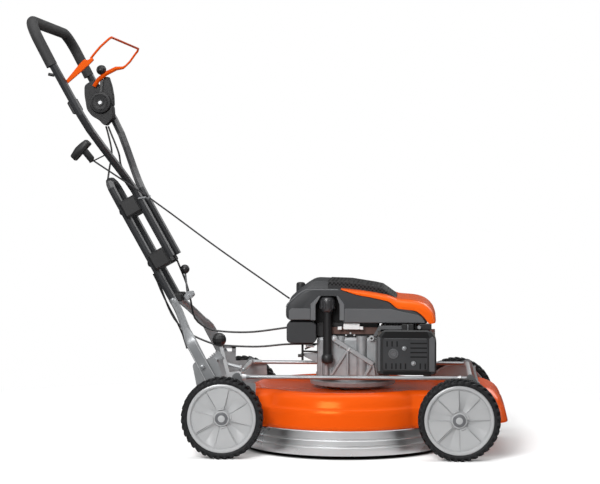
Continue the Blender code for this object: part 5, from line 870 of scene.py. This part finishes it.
# Fuel cap: a small nylon screw cap with a rounded edge, on the tank's neck behind the crown.
# It is turned by hand.
low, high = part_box("fuel_cap")
FUEL_PLACE = ((low[0] + high[0]) / 2, (low[1] + high[1]) / 2, 0.4205)
FUEL_PROFILE = ((0.0, 0.0098), (0.007, 0.0096), (0.0108, 0.0078), (0.0124, 0.0045), (0.0124, 0.0), (0.0, 0.0))
finished_piece("fuel_cap_knob", turned(FUEL_PROFILE, 40, FUEL_PLACE), black_nylon, "fuel_cap",
               ("fuel_cap",))

# Oil filler: a nylon tube on the crankcase with a ribbed cap on top and a collar at its foot.
# The cap is moulded with ten grips and pushed in by hand.
TUBE_PROFILE = ((0.0, 0.134), (0.0108, 0.134), (0.0112, 0.09), (0.0114, 0.024), (0.015, 0.019), (0.016, 0.012),
                (0.015, 0.004), (0.012, 0.0), (0.0, 0.0))
filler = turned(TUBE_PROFILE, 40, (CRANK_X - 0.04, -0.1318, 0.2315))
for side in (-1, 1):
    seam_x = -0.04 + side * 0.0035
    add_rod(filler, (seam_x, -0.1424, 0.256), (seam_x, -0.1424, 0.364), 0.0014, steps=8)
finished_piece("filler_tube", filler, black_nylon, "chassis", ("oil_filler_tube",))
low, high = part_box("oil_cap")
CAP_PLACE = Vector(((low[0] + high[0]) / 2, (low[1] + high[1]) / 2, low[2]))
CAP_PROFILE = ((0.0, 0.0398), (0.0125, 0.0396), (0.017, 0.037), (0.0196, 0.031), (0.0198, 0.02), (0.018, 0.008),
               (0.015, 0.003), (0.0125, 0.0002), (0.0, 0.0002))
CAP_GRIPS = 10
cap_shape = turned(CAP_PROFILE, 40, (0.0, 0.0, 0.0))
for index in range(CAP_GRIPS):
    grip_turn = Matrix.Rotation(2 * math.pi * index / CAP_GRIPS, 4, "Z")
    add_block(cap_shape, (0.004, 0.006, 0.024), 0.0014, grip_turn @ Matrix.Translation((0.0185, 0.0, 0.02)))
add_block(cap_shape, (0.03, 0.007, 0.006), 0.002,
          Matrix.Rotation(0.5, 4, "Z") @ Matrix.Translation((0.0, 0.0, 0.0368)))
bmesh.ops.translate(cap_shape, verts=cap_shape.verts[:], vec=CAP_PLACE)
# Cap nylon: greyer and smoother than the tube, so that the ten grips stand out.
cap_nylon = start_finish("moulded_cap_nylon", "#2C2C2E", "#38383A", 20, 0.34, 2.5, 0.04)
finished_piece("oil_cap_ribbed", cap_shape, cap_nylon, "oil_cap", ("oil_cap",))

# Muffler and its guard: a pressed steel box in black heat-proof paint, with cut slots and a rounded frame.
# Two screws and a pressed boss hold it to the hot steel shell behind.
# Stove paint: black and half matt, baked hard.
stove_black = start_finish("black_stove_paint", "#1B1C1D", "#242526", 45, 0.42, 2.5, 0.04, Specular_IOR_Level=0.4)
GUARD = ((0.09, 0.2052), (0.2435, 0.2052), (0.2435, 0.3), (0.23, 0.3215), (0.106, 0.3215), (0.09, 0.306))
guard_shape = bmesh.new()
add_sheet(guard_shape, rounded(GUARD, 0.012, 4), -0.1634, -0.1254, 0.003)
finished_piece("guard_shell", guard_shape, stove_black, "chassis", ("muffler_guard",), 9.0)
GUARD_PANEL = -0.1682
panel_shape = bmesh.new()
add_sheet(panel_shape, rounded(box_line(0.1055, 0.2175, 0.2217, 0.3006), 0.007, 3), GUARD_PANEL, -0.164, 0.0008)
# Brushed paint: lighter than the shell, so that the black slots read clearly.
brushed_black = start_finish("brushed_stove_paint", "#2B2C2E", "#353638", 45, 0.4, 2.5, 0.03, Specular_IOR_Level=0.4)
finished_piece("guard_panel", panel_shape, brushed_black, "chassis")
guard_highlight_bars = bmesh.new()
for outline in (((0.0915, 0.215), (0.0995, 0.215), (0.0995, 0.302), (0.0915, 0.305)),
                ((0.225, 0.215), (0.2395, 0.215), (0.2395, 0.299), (0.234, 0.306), (0.225, 0.3)),
                box_line(0.109, 0.2992, 0.218, 0.3002)):
    add_sheet(guard_highlight_bars, rounded(outline, 0.002), -0.169, -0.166, 0.0008)
# Painted highlight: grey on the frame's two side faces and along the panel's top edge.
frame_painted_highlight = start_finish("stove_paint_painted_highlight", "#4E4F51", "#5C5D5F", 30, 0.36, 2.5, 0.03)
finished_piece("guard_frame_highlights", guard_highlight_bars, frame_painted_highlight, "chassis")
# Painted shade: black blocks stand for the open slots, and black strips below the panel and on the frame's top are
# painted shade and a painted dark reflection.
slots = bmesh.new()
LOWER_SLOTS = (0.1137, 0.129, 0.1395, 0.1515, 0.164, 0.202, 0.215)
for x, z, width, height in ([(0.198, z, 0.043, 0.0034) for z in (0.2882, 0.2762, 0.2646, 0.253)]
                            + [(x, 0.2866, 0.0034, 0.014) for x in (0.1165, 0.1294, 0.1423)]
                            + [(x, 0.229, 0.0036, 0.015) for x in LOWER_SLOTS]):
    add_block(slots, (width, 0.0012, height), 0.0, at(x, GUARD_PANEL - 0.0006, z))
for outline in (box_line(0.106, 0.2065, 0.23, 0.215),
                ((0.101, 0.3025), (0.226, 0.3025), (0.22, 0.318), (0.112, 0.318))):
    add_sheet(slots, rounded(outline, 0.003), -0.1672, -0.1655)
finished_piece("guard_slots", slots, shade_black, "chassis")
BOSS = ((0.0, 0.0014), (0.004, 0.0014), (0.005, 0.0028), (0.0078, 0.0028), (0.0088, 0.001), (0.01, 0.001),
        (0.0108, 0.003), (0.0126, 0.0028), (0.0132, 0.0), (0.0, 0.0))
boss = turned([(radius, -height) for radius, height in BOSS], 40, (CRANK_X + 0.1328, GUARD_PANEL, 0.2612), "Y")
# Pressed boss: grey and coarse, where the press rubbed the paint.
boss_paint = start_finish("pressed_boss_paint", "#505153", "#5E5F61", 6, 0.5, 2.5, 0.15)
finished_piece("guard_boss", boss, boss_paint, "chassis")
guard_bolts = bmesh.new()
for x, z in ((0.1606, 0.2754), (0.1844, 0.2365)):
    add_bolt(guard_bolts, x, GUARD_PANEL - 0.001, z, 0.0046)
add_rod(guard_bolts, (0.199, -0.156, 0.329), (0.199, -0.159, 0.329), 0.0046)
add_rod(guard_bolts, (0.17, -0.15, 0.32), (0.17, -0.15, 0.336), 0.0016, steps=8)
finished_piece("guard_bolts", guard_bolts, zinc_plate, "chassis")
# Heated steel: brown and grey patches, still metallic.
hot_steel = start_finish("heat_marked_steel", "#4A4643", "#6C6864", 14, 0.45, 2.5, 0.05, Metallic=0.8)
paint(hot_steel, "muffler", edge_mm=1.0)

# Handle tubes: steel tube, bent and powder coated in dark grey.
# Nylon clamps with small wire hooks hold the telescoping pair together.
# Powder coat: dark satin, with one clear highlight along each tube.
tube_powder = start_finish("dark_powder_coat", "#2A2B2D", "#353638", 60, 0.3, 2.5, 0.001, Specular_IOR_Level=0.6)
paint(tube_powder, "lower_loop", "upper_tube_right", "upper_tube_left")
paint(black_nylon, "spine_knuckle", "upper_clamp", "lower_clamp", edge_mm=1.5)
CLAMP_HOOKS = (((-0.585, 0.627), (-0.596, 0.631), (-0.602, 0.627), (-0.6, 0.618), (-0.593, 0.615)),
               ((-0.508, 0.489), (-0.52, 0.493), (-0.5265, 0.489), (-0.5245, 0.48), (-0.5175, 0.477)))
hooks = bmesh.new()
for points in CLAMP_HOOKS:
    add_wire(hooks, [(x, -0.03, z) for x, z in points], 0.0022)
finished_piece("clamp_hooks", hooks, black_nylon, "lower_handle")

# Handle legs: zinc plated steel tube, pressed flat at the foot for the fold pivot and bent inwards to the loop.
# The pressing leaves a bead down both edges of the foot, made in the pale steel as a painted highlight.
# Plated tube: grey with a soft sheen, smoother than the plates.
leg_zinc = start_finish("zinc_plated_tube", "#7E8082", "#929496", 40, 0.36, 3.0, 0.001, Metallic=0.4)
# Stations up a leg: x, height, y, half width, half thickness, and a power that is 2 where the tube is round and
# more where it is pressed flat
LEG_STATIONS = ((-0.3361, 0.1928, 0.2078, 0.009, 0.002, 6.0), (-0.3391, 0.1985, 0.2078, 0.0143, 0.002, 6.0),
                (-0.38, 0.2764, 0.2078, 0.015, 0.002, 6.0), (-0.3861, 0.288, 0.2076, 0.0152, 0.0024, 5.0),
                (-0.3912, 0.298, 0.204, 0.0146, 0.0046, 3.6), (-0.3975, 0.309, 0.191, 0.0126, 0.0076, 2.6),
                (-0.4041, 0.318, 0.1743, 0.0109, 0.01, 2.0), (-0.4178, 0.3385, 0.1385, 0.0105, 0.0105, 2.0),
                (-0.4315, 0.3585, 0.1017, 0.0105, 0.0105, 2.0), (-0.442, 0.3718, 0.077, 0.0105, 0.0105, 2.0),
                (-0.4501, 0.3815, 0.0607, 0.0105, 0.0105, 2.0), (-0.4544, 0.387, 0.0562, 0.0105, 0.0105, 2.0),
                (-0.4573, 0.3922, 0.055, 0.0105, 0.0105, 2.0))
FOOT_BEADS = (((-0.3775, 0.2925), (-0.3274, 0.2048)), ((-0.3971, 0.2822), (-0.3507, 0.1924)))


def ring_turn(places, index, across):
    """The turn that sets a ring square to its path at one of the places, and the ring's sideways direction there."""
    way = (Vector(places[min(index + 1, len(places) - 1)]) - Vector(places[max(index - 1, 0)])).normalized()
    across = (across - way * across.dot(way)).normalized()
    return Matrix((across, way.cross(across), way)).transposed().to_4x4(), across


for side, side_name in ((-1, "right"), (1, "left")):
    leg = bmesh.new()
    places = [Vector((CRANK_X + x, side * y, z)) for x, z, y, *_ in LEG_STATIONS]
    loops = []
    for index, (*_, half_width, half_thickness, power) in enumerate(LEG_STATIONS):
        turn, _ = ring_turn(places, index, Vector((0.0, 1.0, 0.0)))
        ring = bmesh.ops.create_circle(leg, segments=28, radius=1.0)["verts"]
        for corner in ring:
            fill = (abs(corner.co.x) ** power + abs(corner.co.y) ** power) ** (-1.0 / power)
            corner.co = (corner.co.x * fill * half_thickness, corner.co.y * fill * half_width, 0.0)
        bmesh.ops.transform(leg, verts=ring, matrix=Matrix.Translation(places[index]) @ turn)
        loops.append(list({edge for corner in ring for edge in corner.link_edges}))
    join_loops(leg, loops)
    finished_piece("leg_tube_" + side_name, leg, leg_zinc, "lower_handle", ("handle_leg_" + side_name,), 50.0)
    bead_highlights = bmesh.new()
    for ends in FOOT_BEADS:
        add_wire(bead_highlights, [(x, side * 0.2096, z) for x, z in ends], 0.0009)
    finished_piece("leg_bead_highlights_" + side_name, bead_highlights, ground_steel_and_highlight, "lower_handle")

# Height lever's knob: a turned ball of black phenolic resin, polished.
# It is screwed on the flat lever, and one small highlight sits on its top.
ball_resin = start_finish("polished_black_resin", "#161617", "#202021", 25, 0.36, 2.5, 0.004)
paint(ball_resin, "height_knob")

# Grip sleeve: closed-cell foam rubber, pushed over the top of both handle tubes.
# It is matt, with small open pores, and has no highlight.
foam_skin = start_finish("closed_cell_foam", "#242425", "#323233", 12, 0.7, 2.5, 0.2)


def tube_along(shape, points, radii, steps=16):
    """A round tube through the points, with a radius at each."""
    loops = []
    across = Vector((0.3, 0.2, 0.9))
    for index, (point, radius) in enumerate(zip(points, radii)):
        turn, across = ring_turn(points, index, across)
        ring = bmesh.ops.create_circle(shape, segments=steps, radius=radius, matrix=at(*point) @ turn)["verts"]
        loops.append(list({edge for corner in ring for edge in corner.link_edges}))
    join_loops(shape, loops)


GRIP_START, GRIP_CROWN = Vector((-0.7372, 1.0012)), Vector((-0.7978, 1.1181))
GRIP_LONG = (GRIP_CROWN - GRIP_START).length
GRIP_RADIUS, GRIP_SIDE, GRIP_TURN = 0.0145, 0.2575, 0.06
grip_way = []
for side in (-1, 1):
    half = [(side * GRIP_SIDE, 0.0), (side * GRIP_SIDE, 0.035)]
    for step in range(11):
        angle = math.radians(90.0 * step / 10)
        half.append((side * (GRIP_SIDE - GRIP_TURN + GRIP_TURN * math.cos(angle)),
                     GRIP_LONG - GRIP_TURN + GRIP_TURN * math.sin(angle)))
    grip_way += half if side < 0 else half[::-1]
grip_points = []
for y, share in grip_way:
    x, z = GRIP_START + (GRIP_CROWN - GRIP_START) * (share / GRIP_LONG)
    grip_points.append((x, y, z))
grip = bmesh.new()
tube_along(grip, grip_points, [GRIP_RADIUS] * len(grip_points), 28)
finished_piece("grip_sleeve", grip, foam_skin, "upper_handle", ("handle_grip",), 50.0)

# Stop bail: steel wire bent to a hoop, with a flat paddle welded on at the near end.
# It hangs on two pins in the handle tubes, and the engine stops when it is let go.
# Dipped enamel: a deeper orange than the deck's, with a soft highlight along the wire.
dipped_orange = start_finish("dipped_orange_enamel", "#CC4403", "#D84C05", 60, 0.32, 3.0, 0.002,
                             Specular_IOR_Level=0.5, Specular_Tint=linear("#FFA050"))
HOOP_NEAR = ((-0.64, 1.0195), (-0.6311, 1.031), (-0.6156, 1.049), (-0.5985, 1.0645), (-0.59, 1.0715))
HOOP_FAR = ((-0.59, 1.067), (-0.5966, 1.059), (-0.6108, 1.039), (-0.623, 1.027), (-0.6306, 1.0215), (-0.6504, 1.0195),
            (-0.6787, 1.0057), (-0.7, 0.989), (-0.713, 0.97))
PADDLE = ((-0.706, 0.961), (-0.6726, 1.0011), (-0.657, 1.0176), (-0.6467, 1.016), (-0.6363, 1.0226),
          (-0.6312, 1.0162), (-0.6416, 1.006), (-0.6675, 0.9832), (-0.7, 0.956))
HOOP_RADIUS = 0.003
PADDLE_ARM_RADII = [0.004, 0.0058, 0.0062, 0.0062, 0.0055]
hoop = bmesh.new()
way_round = ([(x, -0.243, z) for x, z in HOOP_NEAR] + [(-0.5868, -0.237, 1.0738), (-0.5868, 0.197, 1.0738)]
             + [(x, 0.203, z) for x, z in HOOP_FAR])
tube_along(hoop, way_round, [HOOP_RADIUS] * (len(way_round) - len(PADDLE_ARM_RADII)) + PADDLE_ARM_RADII, 14)
add_sheet(hoop, rounded(PADDLE, 0.003, 3), -0.2465, -0.24, 0.0012)
add_rod(hoop, (-0.7045, -0.2465, 0.96), (-0.7045, -0.239, 0.96), 0.0058)
finished_piece("bail_hoop", hoop, dipped_orange, "stop_bail", ("stop_bail",), 40.0)

# Control box: a black nylon housing on the left handle tube, with a stepped dial round the lever's screw.
# Its halves are screwed together round the tube. The nylon is blacker than the clamps' and has a soft sheen.
BOX = ((-0.7419, 0.9735), (-0.742, 0.9464), (-0.7351, 0.9049), (-0.7212, 0.8872), (-0.6995, 0.8751),
       (-0.6916, 0.8653), (-0.6817, 0.8594), (-0.6598, 0.8831), (-0.6616, 0.9145), (-0.7148, 0.9911))
BOX_EAR = ((-0.687, 0.996), (-0.6747, 0.998), (-0.6663, 0.9714), (-0.6613, 0.9434), (-0.6603, 0.9154),
           (-0.6806, 0.9323), (-0.6946, 0.964))
box_nylon = start_finish("moulded_box_nylon", "#161618", "#1F1F21", 40, 0.44, 2.5, 0.03, Specular_IOR_Level=0.35)
box_shape = bmesh.new()
add_sheet(box_shape, rounded(BOX, 0.008), 0.2118, 0.2465, 0.0017)
add_sheet(box_shape, rounded(BOX_EAR, 0.004), 0.2135, 0.24, 0.0012)
finished_piece("control_housing", box_shape, box_nylon, "upper_handle", ("control_box",), 28.0)
DIAL = ((0.0, -0.003), (0.008, -0.003), (0.0084, -0.0052), (0.01, -0.0052), (0.011, -0.0034), (0.0196, -0.004),
        (0.0206, -0.0022), (0.0222, -0.0022), (0.0232, -0.0036), (0.028, -0.0032), (0.03, -0.0012), (0.03, 0.0),
        (0.0, 0.0))
DIAL_X, DIAL_Z = -0.6958, 0.9248
dial = turned(DIAL, 56, (CRANK_X + DIAL_X, 0.203, DIAL_Z), "Y")
finished_piece("throttle_dial", dial, box_nylon, "control_lever", crease=28.0)
dial_screw = bmesh.new()
add_rod(dial_screw, (DIAL_X, 0.2002, DIAL_Z), (DIAL_X, 0.198, DIAL_Z), 0.0058, 0.005, 24)
finished_piece("dial_screw", dial_screw, ground_steel_and_highlight, "control_lever")
lever_ball = bmesh.new()
bmesh.ops.create_uvsphere(lever_ball, u_segments=32, v_segments=20, radius=0.0138, matrix=at(-0.6923, 0.203, 1.0156))
finished_piece("lever_ball", lever_ball, ball_resin, "control_lever")
paint(ball_resin, "control_lever", edge_mm=0.8)

# Tilt lock lever: a bent steel rod with a black ball, in a zinc plated cam fitting below the handle's loop.
# The cam is pinned to the knuckle, and the ball is screwed on the rod.
paint(drawn_steel, "tilt_lever")
tilt_ball = bmesh.new()
bmesh.ops.create_uvsphere(tilt_ball, u_segments=32, v_segments=20, radius=0.0126, matrix=at(-0.4311, 0.0, 0.4689))
finished_piece("tilt_ball", tilt_ball, ball_resin, "tilt_lever")
CAM = ((-0.433, 0.396), (-0.423, 0.41), (-0.406, 0.413), (-0.401, 0.401), (-0.412, 0.39), (-0.422, 0.386))
cam = bmesh.new()
add_sheet(cam, rounded(CAM, 0.003), -0.02, -0.016, 0.0006)
add_rod(cam, (-0.42, -0.02, 0.395), (-0.42, -0.03, 0.395), 0.006)
add_rod(cam, (-0.408, -0.02, 0.404), (-0.408, -0.027, 0.404), 0.0045)
finished_piece("tilt_cam", cam, zinc_plate, "lower_handle")

# Start grip and its resting hook: moulded nylon, and blackened wire bent round the near handle tube.
# The rope is knotted inside the grip's stem.
START_BAR = ((-0.7098, 0.7712), (-0.6966, 0.7928), (-0.6825, 0.8058), (-0.6685, 0.8154), (-0.6554, 0.8039),
             (-0.6705, 0.7876), (-0.6814, 0.7751), (-0.6967, 0.7584))
START_STEM = ((-0.6829, 0.7837), (-0.6697, 0.7941), (-0.6487, 0.7685), (-0.6511, 0.7589), (-0.6583, 0.7542))
start_grip = bmesh.new()
add_sheet(start_grip, rounded(START_BAR, 0.004), -0.164, -0.144, 0.003)
add_sheet(start_grip, rounded(START_STEM, 0.002), -0.1605, -0.148, 0.002)
finished_piece("start_grip", start_grip, black_nylon, "rope_grip", ("rope_grip",), 50.0)
HOOK_POINTS = ((-0.6276, -0.125, 0.7732), (-0.6512, -0.142, 0.7601), (-0.6618, -0.147, 0.7549))
hook = bmesh.new()
add_wire(hook, HOOK_POINTS, 0.0018)
finished_piece("rope_hook", hook, black_nylon, "upper_handle")

# Start rope and control cables: braided polyester cord, and steel wire in a black PVC sheath.
# Each is laid in a few fixed pieces. Clips hold two short sheaths along its tubes.
# Braid is rough and greyish, the drawn sheath smooth and black.
ROPE_RADIUS, CABLE_RADIUS = 0.0022, 0.0026
braid = start_finish("braided_polyester_cord", "#202022", "#3A3A3C", 3, 0.7, 2.5, 0.2)
sheath = start_finish("extruded_black_pvc", "#171718", "#242425", 50, 0.35, 2.5, 0.02)


def smooth_path(points, step):
    """Points along a soft curve through the given ones, one about every step of length."""
    path = [Vector(point) for point in points]
    padded = [path[0] * 2 - path[1]] + path + [path[-1] * 2 - path[-2]]
    result = []
    for before, start, end, after in zip(padded, padded[1:], padded[2:], padded[3:]):
        pieces = max(1, round((end - start).length / step))
        for piece in range(pieces):
            t = piece / pieces
            bend = (before * 2 - start * 5 + end * 4 - after) * t ** 2
            twist = (start * 3 - before - end * 3 + after) * t ** 3
            result.append((start * 2 + (end - before) * t + bend + twist) / 2)
    return result + [path[-1]]


def lay_cord(name, points, radius, material, stands_for=()):
    """A cord laid as a tube through the points, fixed where it lies."""
    shape = bmesh.new()
    tube_along(shape, [tuple(point) for point in points], [radius] * len(points), 10)
    cord = finished_piece(name, shape, material, None, stands_for, 180.0)
    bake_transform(cord)


ROPE_ENGINE, ROPE_SLACK = (-0.1446, -0.05, 0.3945), (-0.4585, -0.0759, 0.6211)
ROPE_EYE, ROPE_HAND = (-0.5166, -0.085, 0.664), (-0.65, -0.146, 0.7585)
ROPES = (("start_rope_low", (ROPE_ENGINE, (-0.3306, -0.0675, 0.5262), ROPE_SLACK), ("chassis", "lower_handle"),
          ("start_rope",)),
         ("start_rope_high", (ROPE_SLACK, ROPE_EYE), ("lower_handle", "upper_handle"), ()),
         ("start_rope_hand", (ROPE_EYE, (-0.5833, -0.1155, 0.7113), ROPE_HAND), ("upper_handle", "rope_grip"), ()))
for name, course, bodies, stands_for in ROPES:
    lay_cord(name, smooth_path(course, 0.012), ROPE_RADIUS, braid, stands_for)
THROTTLE_HIGH = ((-0.4519, 0.012, 0.4884), (-0.4797, 0.012, 0.5384), (-0.5288, 0.012, 0.627), (-0.5565, 0.012, 0.677),
                 (-0.5711, 0.015, 0.6988), (-0.5954, 0.035, 0.7179), (-0.6183, 0.085, 0.751), (-0.638, 0.165, 0.785),
                 (-0.672, 0.227, 0.845), (-0.6775, 0.228, 0.8588))
THROTTLE_LOW = ((-0.1495, 0.013, 0.313), (-0.25, 0.02, 0.299), (-0.33, 0.028, 0.299), (-0.375, 0.03, 0.308),
                (-0.408, 0.028, 0.335), (-0.418, 0.024, 0.38), (-0.43, 0.02, 0.43), (-0.4519, 0.012, 0.4884))
BRAKE_HIGH = ((-0.5023, -0.011, 0.467), (-0.5267, -0.01, 0.511), (-0.578, -0.008, 0.6036), (-0.6024, -0.005, 0.6476),
              (-0.6181, 0.0, 0.6661), (-0.6422, 0.02, 0.692), (-0.648, 0.07, 0.735), (-0.656, 0.16, 0.785),
              (-0.679, 0.226, 0.843), (-0.684, 0.228, 0.8588))
BRAKE_LOW = ((-0.0693, -0.05, 0.274), (-0.15, -0.05, 0.273), (-0.23, -0.05, 0.266), (-0.3217, -0.05, 0.2688),
             (-0.361, -0.045, 0.276), (-0.418, -0.035, 0.301), (-0.457, -0.025, 0.338), (-0.485, -0.015, 0.395),
             (-0.5, -0.012, 0.441), (-0.5023, -0.011, 0.467))
for name, low_course, high_course in (("throttle_cable", THROTTLE_LOW, THROTTLE_HIGH),
                                      ("brake_cable", BRAKE_LOW, BRAKE_HIGH)):
    lay_cord(name + "_low", smooth_path(low_course, 0.016), CABLE_RADIUS, sheath,
             (name,))
    lay_cord(name + "_high", smooth_path(high_course, 0.016), CABLE_RADIUS, sheath)


def add_cable(shape, points, radius):
    """A sheath laid through the points in short straight runs with balls at the bends."""
    for start, end in zip(points, points[1:]):
        add_rod(shape, start, end, radius, steps=8)
        bmesh.ops.create_icosphere(shape, subdivisions=1, radius=radius, matrix=at(*end))


NEAR_COURSE = ((-0.73, -0.25, 0.978), (-0.715, -0.244, 0.951), (-0.688, -0.218, 0.904), (-0.656, -0.18, 0.848),
               (-0.628, -0.13, 0.797), (-0.605, -0.088, 0.756), (-0.587, -0.06, 0.726))
near_cable = bmesh.new()
add_cable(near_cable, NEAR_COURSE, CABLE_RADIUS)
finished_piece("near_sheath", near_cable, sheath, "upper_handle")
CLIP_TURN = Matrix.Rotation(math.radians(-29.0), 4, "Y")
clips = bmesh.new()
add_block(clips, (0.026, 0.026, 0.036), 0.003, at(-0.683, -0.23, 0.8985) @ CLIP_TURN)
add_rod(clips, (-0.733, -0.25, 0.977), (-0.748, -0.25, 0.98), 0.004, steps=12)
finished_piece("cable_clips", clips, black_nylon, "upper_handle")
LOWER_COURSE = ((-0.506, -0.07, 0.46), (-0.496, -0.068, 0.44), (-0.488, -0.066, 0.419), (-0.478, -0.064, 0.396),
                (-0.462, -0.062, 0.364), (-0.445, -0.06, 0.333), (-0.43, -0.06, 0.3), (-0.418, -0.062, 0.262))
lower_cable = bmesh.new()
add_cable(lower_cable, LOWER_COURSE, 0.0024)
finished_piece("lower_sheath", lower_cable, sheath, "lower_handle")
